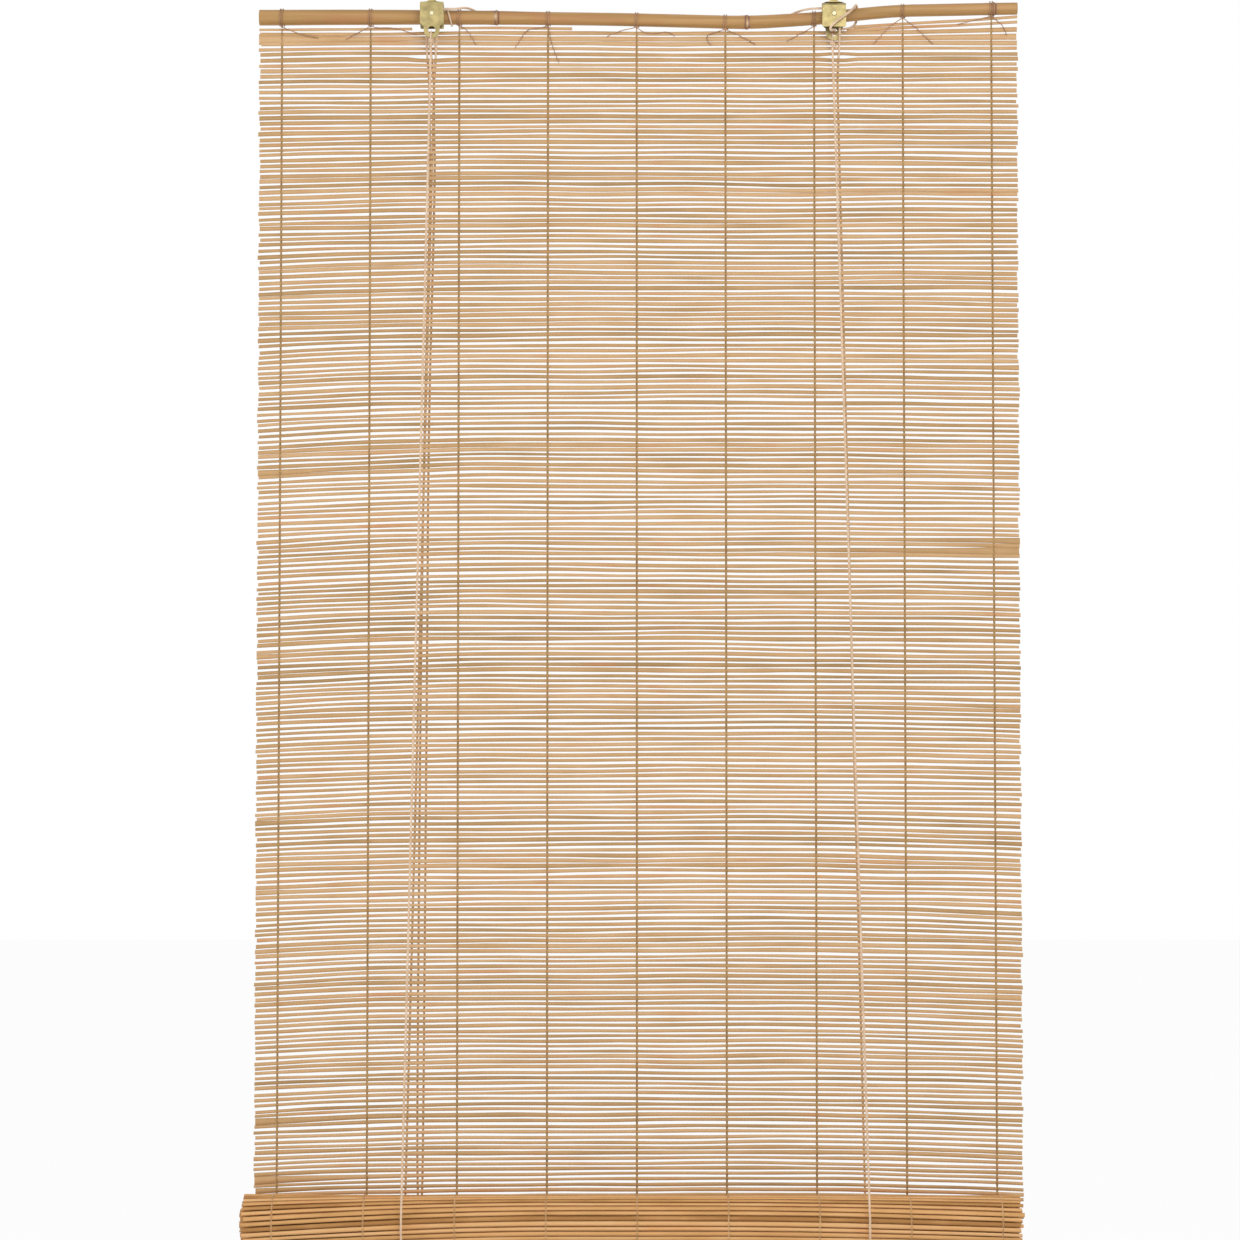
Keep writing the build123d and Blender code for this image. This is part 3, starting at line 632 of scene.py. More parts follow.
@dataclass(frozen=True)
class SlatTree:
    """Geometry Nodes tree that sets a slat at each point of a mesh, with its own size, tilt and wobble."""

    name: str = "split_slats"
    floats: tuple[str, ...] = ("Thickness", "Wobble", "Unevenness", "Flare reach")

    def tree(self) -> bpy.types.NodeTree:
        """Return the tree, made at the first call."""
        found = bpy.data.node_groups.get(self.name)
        if found:
            return found
        inputs = [(n, "NodeSocketFloat") for n in self.floats]
        inputs += [(n, "NodeSocketInt") for n in ("Stations", "Sides")]
        inputs.append(("Material", "NodeSocketMaterial"))
        tree, maker, given = new_tree(self.name, inputs)

        def named(label: str, kind: str = "FLOAT") -> bpy.types.NodeSocket:
            """Read a value that each slat carries."""
            return maker.node("GeometryNodeInputNamedAttribute", {"Name": label}, data_type=kind).outputs[0]

        def part(kind: str, **sockets: Any) -> bpy.types.NodeSocket:
            """Add a node, with its sockets named by keywords, and return its first output."""
            given_to = {key.replace("_", " "): value for key, value in sockets.items()}
            return maker.node(kind, given_to).outputs[0]

        def scaled(value: Any, factor: Any) -> bpy.types.NodeSocket:
            """Return a value times a factor."""
            return maker.maths("MULTIPLY", value, factor)

        line = part("GeometryNodeCurvePrimitiveLine", Start=(-0.5, 0.0, 0.0), End=(0.5, 0.0, 0.0))
        even = part("GeometryNodeResampleCurve", Curve=line, Count=given.outputs["Stations"])
        section = part("GeometryNodeCurvePrimitiveCircle", Resolution=given.outputs["Sides"], Radius=0.5)
        bar = part("GeometryNodeCurveToMesh", Curve=even, Profile_Curve=section, Fill_Caps=True)
        # The six-sided section lies on its flats, so it is scaled up to reach the slat's height.
        flat_to_flat = maker.maths("DIVIDE", named("height"), math.cos(math.pi / 6))
        size = part("ShaderNodeCombineXYZ", X=named("length"), Y=given.outputs["Thickness"], Z=flat_to_flat)
        turned = part("ShaderNodeCombineXYZ", X=named("roll"))
        places = {"Points": given.outputs["Geometry"], "Instance": bar}
        set_out = part("GeometryNodeInstanceOnPoints", **places, Rotation=turned, Scale=size)
        real = part("GeometryNodeRealizeInstances", Geometry=set_out)
        middle = named("middle", "FLOAT_VECTOR")
        place = maker.node("GeometryNodeInputPosition").outputs[0]
        offset = maker.node("ShaderNodeSeparateXYZ", {"Vector": maker.vectors("SUBTRACT", place, middle)})
        along = offset.outputs["X"]
        seed = maker.maths("MULTIPLY", named("tone"), 313.0)
        walk = part("ShaderNodeCombineXYZ", X=along)
        bends = maker.noise(walk, 7.0, 2.0, seed)
        swells = maker.noise(walk, 18.0, 2.0, maker.maths("ADD", seed, 40.0))
        sways = maker.noise(walk, 9.0, 1.0, maker.maths("ADD", seed, 80.0))
        half = scaled(named("length"), 0.5)
        flares = []
        for label, way in (("flare_left", "ADD"), ("flare_right", "SUBTRACT")):
            reached = maker.maths("DIVIDE", maker.maths(way, half, along), given.outputs["Flare reach"])
            flares.append(scaled(named(label), maker.maths("EXPONENT", scaled(reached, -1.0))))
        swell = scaled(maker.maths("SUBTRACT", swells, 0.5), given.outputs["Unevenness"])
        taller = maker.maths("ADD", maker.maths("ADD", swell, 1.0), maker.maths("ADD", *flares))
        rise = scaled(maker.maths("SUBTRACT", bends, 0.5), given.outputs["Wobble"])
        lean = maker.maths("MULTIPLY_ADD", along, named("tilt"), rise)
        new_z = maker.maths("MULTIPLY_ADD", offset.outputs["Z"], taller, lean)
        push = scaled(maker.maths("SUBTRACT", sways, 0.5), scaled(given.outputs["Wobble"], 0.4))
        new_y = maker.maths("ADD", offset.outputs["Y"], push)
        shaped = part("ShaderNodeCombineXYZ", X=along, Y=new_y, Z=new_z)
        moved = part("GeometryNodeSetPosition", Geometry=real, Position=maker.vectors("ADD", middle, shaped))
        end_tree(maker, moved, given.outputs["Material"])
        return tree

    def lay(self, name: str, slats: Sequence[Slat], finish: Finish, **sizes: Any) -> bpy.types.Object:
        """Make one mesh piece of many slats.

        Args:
            name: The piece's name.
            slats: The slats, each with its middle, length, height and tone.
            finish: The slats' finish.
            **sizes: Stations, Sides, Thickness and the other inputs of the tree.

        Returns:
            The slats as one mesh piece.
        """
        mesh = bpy.data.meshes.new(name)
        mesh.from_pydata([s.middle for s in slats], [], [])
        for label in ("length", "height", "tone", "tilt", "roll", "flare_left", "flare_right"):
            layer = mesh.attributes.new(label, "FLOAT", "POINT")
            layer.data.foreach_set("value", [getattr(s, label) for s in slats])
        middles = mesh.attributes.new("middle", "FLOAT_VECTOR", "POINT")
        middles.data.foreach_set("vector", [c for s in slats for c in s.middle])
        values = {key.replace("_", " ").capitalize(): value for key, value in sizes.items()}
        return grow(new_object(name, mesh), self.tree(), {**values, "Material": finish.material()})


@dataclass
class SlatMat:
    """The hanging mat: rows of split slats from the pole down to the roll."""

    width: float = 900.0 * MM
    middle_x: float = 6.5 * MM
    depth_y: float = 17.215 * MM
    first_row: float = -46.963 * MM
    pitch: float = 6.2 * MM
    rows: int = 226
    height: float = 4.15 * MM
    thickness: float = 1.9 * MM
    lift: float = 1.32
    sway: MatSway = field(default_factory=MatSway)
    seed: int = 11

    def top_slats(self, chance: random.Random) -> list[Slat]:
        """Return the short and slanting slats that fill the wedge below the bent pole."""
        left = self.middle_x - self.width / 2
        right = self.middle_x + self.width / 2
        spans = [
            (left, -262.0 * MM, self.first_row + self.pitch * 0.95, 3.0 * MM, 0.004),
            (-205.0 * MM, -72.0 * MM, self.first_row + self.pitch * 0.9, 3.2 * MM, -0.01),
            (254.0 * MM, right, -41.5 * MM, 3.4 * MM, 0.026),
            (262.0 * MM, right, -36.5 * MM, 3.2 * MM, 0.042),
        ]
        return [
            Slat(((a + b) / 2, self.depth_y, z), b - a, tall, chance.uniform(0.55, 0.95), tilt)
            for a, b, z, tall, tilt in spans
        ]

    def slats(self) -> list[Slat]:
        """Return every slat of the mat."""
        chance = random.Random(self.seed)
        made = self.top_slats(chance)
        wide_left = {1: 1.55, 83: 0.7, 118: 0.8, 150: 0.6, 163: 0.7, 206: 0.9, 217: 1.6, 219: 0.9}
        wide_right = {64: 0.5, 97: 0.8, 99: 2.4, 128: 0.5, 132: 0.7, 183: 0.5}
        for row in range(self.rows):
            length = self.width - chance.uniform(0.0, 3.0) * MM
            middle = self.middle_x + chance.uniform(-1.0, 1.0) * MM
            tall = self.height * chance.uniform(0.78, 1.16) * (1.15 if row < 3 else 1.0)
            tone = min(1.0, max(0.0, chance.gauss(0.48, 0.16) + (0.3 if row < 4 else 0.0)))
            lean = chance.gauss(0.0, 0.0009)
            z = self.first_row - row * self.pitch + chance.gauss(0.0, 0.22) * MM
            flares = (wide_left.get(row, 0.0), wide_right.get(row, 0.0))
            made.append(Slat((middle, self.depth_y, z), length, tall, tone, lean, 0.0, *flares))
        return made

    def build(self) -> bpy.types.Object:
        """Make the mat, settle it and hang it on the head."""
        mat = SlatTree().lay(
            "slat_mat", self.slats(), SLAT_FINISH, thickness=self.thickness, wobble=1.1 * MM,
            unevenness=0.55, flare_reach=80.0 * MM, stations=58, sides=6,
        )
        self.sway.settle(mat)
        self.hang(mat, -38.0 * MM)
        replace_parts(mat, "slat_curtain")
        return mat

    def hang(self, piece: bpy.types.Object, top: float) -> None:
        """Let a piece of the mat ride on the head, with a mesh of its own.

        Args:
            piece: The mesh piece.
            top: Not used.
        """
        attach(piece, Body.HEAD.value)
        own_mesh(piece)


@dataclass
class RolledMat:
    """The lower end of the mat, wound on itself, with its left end stepped out turn by turn."""

    width: float = 900.0 * MM
    left: float = -443.5 * MM
    centre_y: float = -20.935 * MM
    centre_z: float = -1444.5 * MM
    radius: float = 34.0 * MM
    turn_pitch: float = 4.1 * MM
    pitch: float = 6.2 * MM
    rows: int = 131
    height: float = 4.3 * MM
    thickness: float = 1.9 * MM
    first_shift: float = 5.0 * MM
    shift_per_turn: float = 0.9 * MM
    left_skew: float = 15.0 * MM
    right_skew: float = 9.0 * MM
    left_swell: float = 0.06
    seed: int = 23

    def skew(self, x: float) -> tuple[float, float]:
        """Return how far the slats turn down round the roll at x, and how much thicker it is there."""
        past = max(0.0, (abs(x) - 0.10) / 0.35)
        if x < 0:
            return self.left_skew * past**1.6, 1 + self.left_swell * past**2
        return self.right_skew * past**1.6, 1.0

    def place(self, angle: float, out: float = 0.0) -> tuple[float, float]:
        """Return Y and Z of a point of the spiral.

        Args:
            angle: Turned angle in radians, zero at the back and falling inwards.
            out: Distance outwards from the slats' middle line.
        """
        radius = self.radius - self.thickness / 2 + self.turn_pitch * angle / TURN + out
        return self.centre_y + radius * math.cos(angle), self.centre_z + radius * math.sin(angle)

    def slats(self) -> list[Slat]:
        """Return every wound slat."""
        chance = random.Random(self.seed)
        made = []
        angle = 0.0
        for _ in range(self.rows):
            y, z = self.place(angle)
            turns = -angle / TURN
            shift = self.first_shift + math.floor(turns) * self.shift_per_turn + chance.uniform(0.0, 3.0) * MM
            length = self.width - chance.uniform(0.0, 4.0) * MM
            tone = min(1.0, max(0.0, chance.gauss(0.55, 0.2)))
            tall = self.height * chance.uniform(0.85, 1.12)
            made.append(Slat((self.left - shift + length / 2, y, z), length, tall, tone, 0.0, angle))
            angle -= self.pitch / (self.radius + self.turn_pitch * angle / TURN)
        return made

    def twist(self, piece: bpy.types.Object) -> bpy.types.Object:
        """Skew the ends of a piece of the roll round its axis, so that its slats slope down to both ends."""
        for vertex in piece.data.vertices:
            turned, thicker = self.skew(vertex.co.x)
            angle = turned / self.radius
            across = (vertex.co.y - self.centre_y) * thicker
            up = (vertex.co.z - self.centre_z) * thicker
            vertex.co.y = self.centre_y + across * math.cos(angle) - up * math.sin(angle)
            vertex.co.z = self.centre_z + across * math.sin(angle) + up * math.cos(angle)
        return piece

    def threads(self) -> bpy.types.Object:
        """Make the nine pairs of warp strands that bind the roll's outer turn."""
        lines = []
        for x in WarpThreads().lines:
            for side in (-1, 1):
                line = []
                angle = 0.0
                for row in range(33):
                    for half in (0.0, 0.5):
                        turned = angle - half * self.pitch / self.radius
                        out = side * (-1) ** row * 1.75 * MM if half == 0.0 else 0.0
                        sideways = 0.0 if half == 0.0 else side * (-1) ** row * 0.45 * MM
                        y, z = self.place(turned, out)
                        line.append((x + sideways, y, z))
                    angle -= self.pitch / (self.radius + self.turn_pitch * angle / TURN)
                lines.append(spline_points(line))
        return ROLL_STRAND.along_all("roll_warps", lines)

    def build(self) -> list[bpy.types.Object]:
        """Make the rolled slats and their threads."""
        slats = SlatTree().lay(
            "rolled_mat", self.slats(), LIGHTENED_ROLL_FINISH, thickness=self.thickness, wobble=1.0 * MM,
            unevenness=0.45, flare_reach=60.0 * MM, stations=40, sides=6,
        )
        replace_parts(self.twist(slats), "rolled_slats")
        threads = self.twist(self.threads())
        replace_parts(threads, "roll_threads")
        for piece in (slats, threads):
            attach(piece, Body.ROLL.value)
        return [slats, threads]


@dataclass
class HeadPole:
    """The bent bamboo culm at the top, with three node rings and sawn hollow ends."""

    left: float = -443.5
    depth_y: float = 17.215
    axis_z: float = -27.5
    ring_step: float = 4.0
    sides: int = 28
    stations: tuple[tuple[float, float, float], ...] = (
        (0.0, -0.4, 18.6), (101.0, 0.1, 18.2), (190.0, 0.1, 17.4), (282.0, -0.5, 16.4),
        (340.0, -1.4, 15.3), (405.0, -2.1, 15.3), (444.0, -2.9, 15.4), (556.0, -5.7, 15.6),
        (579.0, -6.5, 15.9), (657.0, -1.9, 15.2), (753.0, 7.7, 14.6), (872.0, 10.1, 14.4),
        (900.0, 10.7, 14.3),
    )
    nodes: tuple[float, ...] = (282.0, 579.0, 872.0)
    buds: tuple[tuple[float, float], ...] = ((280.5, math.pi), (579.5, math.pi + 0.35))

    def axis(self, distance: float) -> tuple[float, float]:
        """Return the rise of the axis and the radius at a distance from the left end, in millimetres."""
        reach = 22.0
        total_rise = 0.0
        total_radius = 0.0
        for step in (-1.0, -0.5, 0.0, 0.5, 1.0):
            place = min(max(distance + step * reach, 0.0), self.stations[-1][0])
            for (s0, rise0, wide0), (s1, rise1, wide1) in zip(self.stations, self.stations[1:]):
                if place <= s1:
                    share = (place - s0) / (s1 - s0)
                    total_rise += rise0 + share * (rise1 - rise0)
                    total_radius += (wide0 + share * (wide1 - wide0)) / 2
                    break
        return total_rise / 5, total_radius / 5

    def swell(self, distance: float) -> float:
        """Return the node's ridge and the scar beside it, at a distance along the pole."""
        total = 0.0
        for node in self.nodes:
            past = distance - node
            total += 0.85 * math.exp(-((past / 1.6) ** 2)) - 0.35 * math.exp(-(((past - 2.6) / 0.9) ** 2))
            total += 0.25 * math.exp(-((past + 4.0) / 5.0) ** 2)
        return total

    def ring_shade(self, past: float) -> float:
        """Return how dark a node's skin is beside its middle: two lines with a paler band between."""
        return 0.85 * math.exp(-(((abs(past) - 2.1) / 0.8) ** 2)) + 0.35 * math.exp(-((past / 3.2) ** 2))

    def bud_shade(self, past: float, turned: float) -> float:
        """Return how pale the bud scar of a node is, along the pole and round it."""
        return 0.9 * math.exp(-((past / 1.6) ** 2) - (turned / 0.42) ** 2)

    def distances(self) -> list[float]:
        """Return where the rings of the mesh stand, closer together at the nodes."""
        places = {round(i * self.ring_step, 3) for i in range(int(900 / self.ring_step) + 1)}
        for node in self.nodes:
            places |= {round(node + 0.5 * i, 3) for i in range(-16, 17)}
        return sorted(places)

    def build(self) -> bpy.types.Object:
        """Make the culm as one closed tube with bored ends."""
        points: list[Point] = []
        rings: list[float] = []
        profile: list[tuple[float, float, float]] = []
        for distance in self.distances():
            rise, radius = self.axis(distance)
            profile.append((distance, rise, radius + self.swell(distance)))
        first, last = profile[0], profile[-1]
        outline = [
            (24.0, first[1], 0.5), (23.5, first[1], 4.3), (0.8, first[1], 4.5), (0.0, first[1], 4.9),
            (0.0, first[1], first[2] - 0.5), (0.4, first[1], first[2]),
            *profile[1:-1],
            (899.6, last[1], last[2]), (900.0, last[1], last[2] - 0.5), (900.0, last[1], 3.6),
            (899.2, last[1], 3.2), (878.5, last[1], 3.1), (878.0, last[1], 0.4),
        ]
        sawn: list[float] = []
        pale: list[float] = []
        for number, (distance, rise, radius) in enumerate(outline):
            shade = max(self.ring_shade(distance - node) for node in self.nodes)
            for side in range(self.sides):
                angle = TURN * side / self.sides
                ripple = 0.12 * noise.noise(Vector((distance * 0.02, math.cos(angle), math.sin(angle))))
                wide = (radius + (ripple if radius > 6 else 0.0)) * MM
                points.append(
                    (
                        (self.left + distance) * MM,
                        self.depth_y * MM + wide * math.cos(angle),
                        (self.axis_z + rise) * MM + wide * math.sin(angle),
                    )
                )
                rings.append(shade)
                pale.append(max(self.bud_shade(distance - bud, angle - facing) for bud, facing in self.buds))
                sawn.append(1.0 if number < 5 or number > len(outline) - 6 else 0.0)
        faces = []
        count = self.sides
        for ring in range(len(outline) - 1):
            for side in range(count):
                near = ring * count + side
                beside = ring * count + (side + 1) % count
                faces.append((near, beside, beside + count, near + count))
        faces.append(tuple(reversed(range(count))))
        faces.append(tuple(range(len(points) - count, len(points))))
        mesh = bpy.data.meshes.new("culm")
        mesh.from_pydata(points, [], [tuple(reversed(f)) for f in faces])
        for label, values in (("node_ring", rings), ("sawn", sawn), ("bud", pale)):
            mesh.attributes.new(label, "FLOAT", "POINT").data.foreach_set("value", values)
        culm = smooth(new_object("culm", mesh), POLE_FINISH)
        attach(culm, Body.HEAD.value)
        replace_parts(culm, "head_pole")
        return culm


@dataclass
class WarpThreads:
    """Nine pairs of strands woven through the slats, and tied round the pole with loose tails."""

    lines: tuple[float, ...] = tuple((-416.5 + 105.25 * step) * MM for step in range(9))
    tie_bottoms: tuple[float, ...] = (-38.71, -38.06, -37.85, -38.28, -39.9, -42.63, -38.55, -28.57, -27.26)
    tails: tuple[tuple[tuple[tuple[float, float], ...], ...], ...] = (
        (((4, -3), (18, -8), (32, -12), (43, -14)),),
        (((-4, -3), (-16, -9), (-24, -13), (-30, -17)), ((5, -3), (25, -2), (40, -6), (55, -11))),
        (((8, -4), (14, -12), (20, -24)),),
        (((2, -8), (4, -22), (13, -44)), ((-6, -2), (-25, -4), (-32, -15), (-39, -26))),
        (((-8, -2), (-20, -4), (-35, -11)), ((6, -6), (22, -8), (38, -4), (45, -11))),
        (((-16, -4), (-25, -10), (-17, -19)), ((8, -3), (20, -9), (36, -18))),
        (((-6, -4), (-18, -10), (-32, -18)),),
        (((-6, -4), (-16, -10), (-26, -22), (-36, -32)), ((5, -4), (16, -12), (26, -22), (36, -32))),
        (((4, -3), (14, -10), (18, -22)), ((-8, -1), (-22, -5), (-40, -9))),
    )
    front_y: float = 16.265
    mat: SlatMat = field(default_factory=SlatMat)

    def strand(self, x: float, top: float, side: int) -> list[Vector]:
        """Return the line of one strand, in front of one slat and behind the next.

        Args:
            x: The warp's place.
            top: Height where the strand leaves the knot.
            side: 1 or -1, which strand of the pair.
        """
        mat = self.mat
        points: list[Point] = [(x, mat.depth_y - 2.0 * MM, top)]
        for row in range(mat.rows):
            z = mat.first_row - row * mat.pitch
            way = side * (-1) ** row
            points.append((x, mat.depth_y - way * 2.35 * MM, z))
            points.append((x + way * 0.8 * MM, mat.depth_y, z - mat.pitch / 2))
        return spline_points([p for p in points if p[2] <= top])

    def knot(self, x: float, z: float) -> list[Vector]:
        """Return the closed line of an overhand knot in front of the tie."""
        points = []
        for step in range(30):
            t = TURN * step / 30
            across = math.sin(t) + 2 * math.sin(2 * t)
            up = math.cos(t) - 2 * math.cos(2 * t)
            y = (self.front_y - 2.1 - 0.7 * math.sin(3 * t)) * MM
            points.append(Vector((x + across * 0.52 * MM, y, z + up * 0.62 * MM)))
        return points

    def tie(self, x: float, bottom: float) -> list[Vector]:
        """Return the line of a tie that goes twice round the pole.

        Args:
            x: The warp's place.
            bottom: Height of the tie's lowest point, in metres.
        """
        pole = HeadPole()
        distance = x / MM - pole.left
        rise = pole.axis(distance)[0]
        middle = (pole.axis_z + rise) * MM
        radius = middle - bottom - 0.75 * MM
        points = []
        for step in range(49):
            turned = TURN * (step / 24) - TURN / 4
            points.append(
                (
                    x + (step / 48 - 0.5) * 5.6 * MM,
                    pole.depth_y * MM - radius * math.cos(turned),
                    middle + radius * math.sin(turned),
                )
            )
        return spline_points(points)

    def build(self) -> list[bpy.types.Object]:
        """Make the nine warps, their ties, knots and tails."""
        made = []
        ties, knots, tails = [], [], []
        for number, (x, bottom, ends) in enumerate(zip(self.lines, self.tie_bottoms, self.tails), start=1):
            top = bottom * MM - 2.0 * MM
            strands = [self.strand(x, top, side) for side in (-1, 1)]
            warp = WARP_STRAND.along_all(f"warp_{number}", strands)
            self.mat.sway.settle(warp)
            self.mat.hang(warp, top)
            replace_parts(warp, f"warp_thread_{number}")
            made.append(warp)
            ties.append(self.tie(x, bottom * MM))
            knots.append(self.knot(x, bottom * MM))
            for end in ends:
                points = [(x, (self.front_y - 2.6) * MM, bottom * MM)]
                for way, fall in end:
                    points.append((x + way * MM, (self.front_y - 1.6) * MM, (bottom + fall) * MM))
                tails.append(spline_points(points))
        tied = TIE_YARN.along_all("pole_ties_yarn", [*ties, *tails])
        knotted = TIE_YARN.along_all("tie_knots", knots, cyclic=True)
        for piece in (tied, knotted):
            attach(piece, Body.HEAD.value)
            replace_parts(piece, "pole_ties")
            made.append(piece)
        return made


@dataclass
class LiftCords:
    """Twisted cotton cords: front and back runs, slings, the wheels' cords, pull cords and lashings."""

    mat: SlatMat = field(default_factory=SlatMat)
    plate_y: float = 6.5
    axle_z: float = -27.5
    wheel_x: float = 237.8
    wrap_radius: float = 6.8
    groove: float = 2.1
    back_y: float = 21.315
    front_y: float = -59.085
    sling_y: float = -18.885
    sling_radius: float = 40.2
    roll_z: float = -1444.5
    back_top: float = -106.0
    pull_y: float = 26.215
    crossing_y: float = 30.015
    knot_z: float = -1499.5
    window_z: float = -74.863

    def wrap(self, x: float, y: float, start: float, end: float) -> list[Point]:
        """Return control points of a cord's arc over a wheel.

        Args:
            x: The wheel's axle.
            y: The groove.
            start: First angle in degrees.
            end: Last angle in degrees.
        """
        steps = max(2, round((end - start) / 45))
        reach = self.wrap_radius / math.cos(math.radians((end - start) / steps / 2))
        middles = [math.radians(start + (end - start) * (i + 0.5) / steps) for i in range(steps)]
        return [(x + reach * math.cos(a), y, self.axle_z + reach * math.sin(a)) for a in middles]

    def passing(self, x: float, y: float) -> Point:
        """Return a point of a cord's line where it goes back through the mat at 45 degrees."""
        return (x, y, self.window_z + self.mat.depth_y / MM - y)

    def run(self, name: str, top: Point, bottom: Point, node: str) -> bpy.types.Object:
        """Make a tight run of cord that rides on the head.

        Args:
            name: The piece's name.
            top: The fixed upper end, in millimetres.
            bottom: The lower end, in millimetres.
            node: The node that it replaces.
        """
        ends = [Vector(p) * MM for p in (top, bottom)]
        cord = COTTON_CORD.along(name, ends)
        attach(cord, Body.HEAD.value)
        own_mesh(cord)
        return self.dress(cord, node)

    def dress(self, cord: bpy.types.Object, *nodes: str) -> bpy.types.Object:
        """Hide the imported nodes that a cord stands in for."""
        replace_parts(cord, *nodes)
        return cord

    def fixed(
        self, name: str, yarn: Yarn, points: Sequence[Point], node: str, body: Body = Body.HEAD
    ) -> bpy.types.Object:
        """Make a cord that keeps its shape and rides on a body."""
        cord = yarn.along(name, spline_points(millimetres(points)))
        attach(cord, body.value)
        return self.dress(cord, node)

    def runs_and_slings(self) -> list[bpy.types.Object]:
        """Make the two front runs, the two back runs and the two slings."""
        made = []
        places = (
            ("left", Side.LEFT, -0.7, -1, -267.0, -236.0),
            ("right", Side.RIGHT, -1.5, 1, 272.0, 243.0),
        )
        for hand, side, shift, facing, sling_x, back_x in places:
            knot_x = side.value * self.wheel_x + shift
            front_top = (knot_x, facing * self.plate_y, -63.0)
            front_foot = (sling_x, self.front_y, self.roll_z)
            made.append(self.run(f"{hand}_front_cord", front_top, front_foot, f"{hand}_front_run"))
            back_top = (back_x, self.back_y, self.back_top)
            back_foot = (sling_x, self.back_y, self.roll_z)
            made.append(self.run(f"{hand}_back_cord", back_top, back_foot, f"{hand}_back_run"))
            arc = []
            for step in range(9):
                angle = -math.pi * (step + 0.5) / 9
                reach = self.sling_radius / math.cos(math.pi / 18)
                y = self.sling_y + reach * math.cos(angle)
                arc.append((sling_x, y, self.roll_z + reach * math.sin(angle)))
            points = [back_foot, *arc, front_foot]
            made.append(self.fixed(f"{hand}_sling_cord", COTTON_CORD, points, f"{hand}_sling", Body.SLINGS))
        return made

    def eye_knots(self) -> list[bpy.types.Object]:
        """Make the cord's loop through each eye and the overhand knot below it."""
        made = []
        for hand, side, shift, facing in (("left", Side.LEFT, -0.7, -1), ("right", Side.RIGHT, -1.5, 1)):
            x = side.value * self.wheel_x + shift
            y = facing * self.plate_y
            loop = [
                (x, y, -66.0), (x + 0.6, y - 2.0, -62.0), (x - 0.6, y - 2.6, -57.0),
                (x, y - 2.5, -52.0), (x, y - 1.2, -49.6), (x, y + 1.2, -49.6),
                (x, y + 2.5, -52.0), (x + 0.4, y + 2.6, -57.0), (x - 0.4, y + 2.0, -62.0),
            ]
            turns = []
            for step in range(31):
                angle = TURN * 2.3 * step / 30
                turns.append((x + 2.5 * math.cos(angle), y + 2.5 * math.sin(angle), -58.2 - 4.6 * step / 30))
            tail = [(x + 1.2, y - 2.2, -61.5), (x + 3.4, y - 2.4, -63.4), (x + 4.8, y - 1.2, -67.5)]
            lines = [spline_points(millimetres(p)) for p in (loop, turns, tail)]
            knot = THIN_CORD.along_all(f"{hand}_eye_hitch", lines)
            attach(knot, Body.HEAD.value)
            made.append(self.dress(knot, f"{hand}_eye_knot"))
        return made

    def wheel_cords(self) -> list[bpy.types.Object]:
        """Make the cord over the left wheel and the cord that crosses from the right wheel."""
        left, right, wide = -self.wheel_x, self.wheel_x, self.wrap_radius
        front, rear = -self.groove, self.groove
        over = [
            (-236.0, self.back_y, self.back_top), self.passing(-234.6, self.back_y),
            self.passing(-233.8, 12.5), (left + wide, front, -41.0),
            *self.wrap(left, front, 0, 180), (left - wide, front, -41.0), self.passing(-239.4, 12.5),
            self.passing(-238.4, self.pull_y), (-236.5, self.pull_y, self.back_top),
        ]
        top = self.axle_z + wide
        crossing = [
            (243.0, self.back_y, self.back_top), self.passing(243.8, self.back_y),
            self.passing(244.5, 12.5), (right + wide, front, -47.0), *self.wrap(right, front, 0, 90),
            (214.0, front, top), (203.0, 9.5, -20.0), (194.0, 22.0, -20.3),
            (184.0, self.crossing_y - 0.6, -24.0), (168.0, self.crossing_y, -26.5),
            (140.0, self.crossing_y, -27.0), (-138.0, self.crossing_y, -27.0),
            (-166.0, self.crossing_y, -25.0), (-182.0, self.crossing_y - 0.6, -20.6),
            (-191.0, 22.5, -16.8), (-199.5, 11.0, -17.0), (-211.0, rear, top),
            *self.wrap(left, rear, 90, 180), (left - wide, rear, -41.0), self.passing(-244.4, 12.5),
            self.passing(-243.4, self.pull_y), (-242.0, self.pull_y, self.back_top),
        ]
        return [
            self.fixed("left_wheel_line", COTTON_CORD, over, "left_wheel_cord"),
            self.fixed("crossing_line", COTTON_CORD, crossing, "crossing_cord"),
        ]

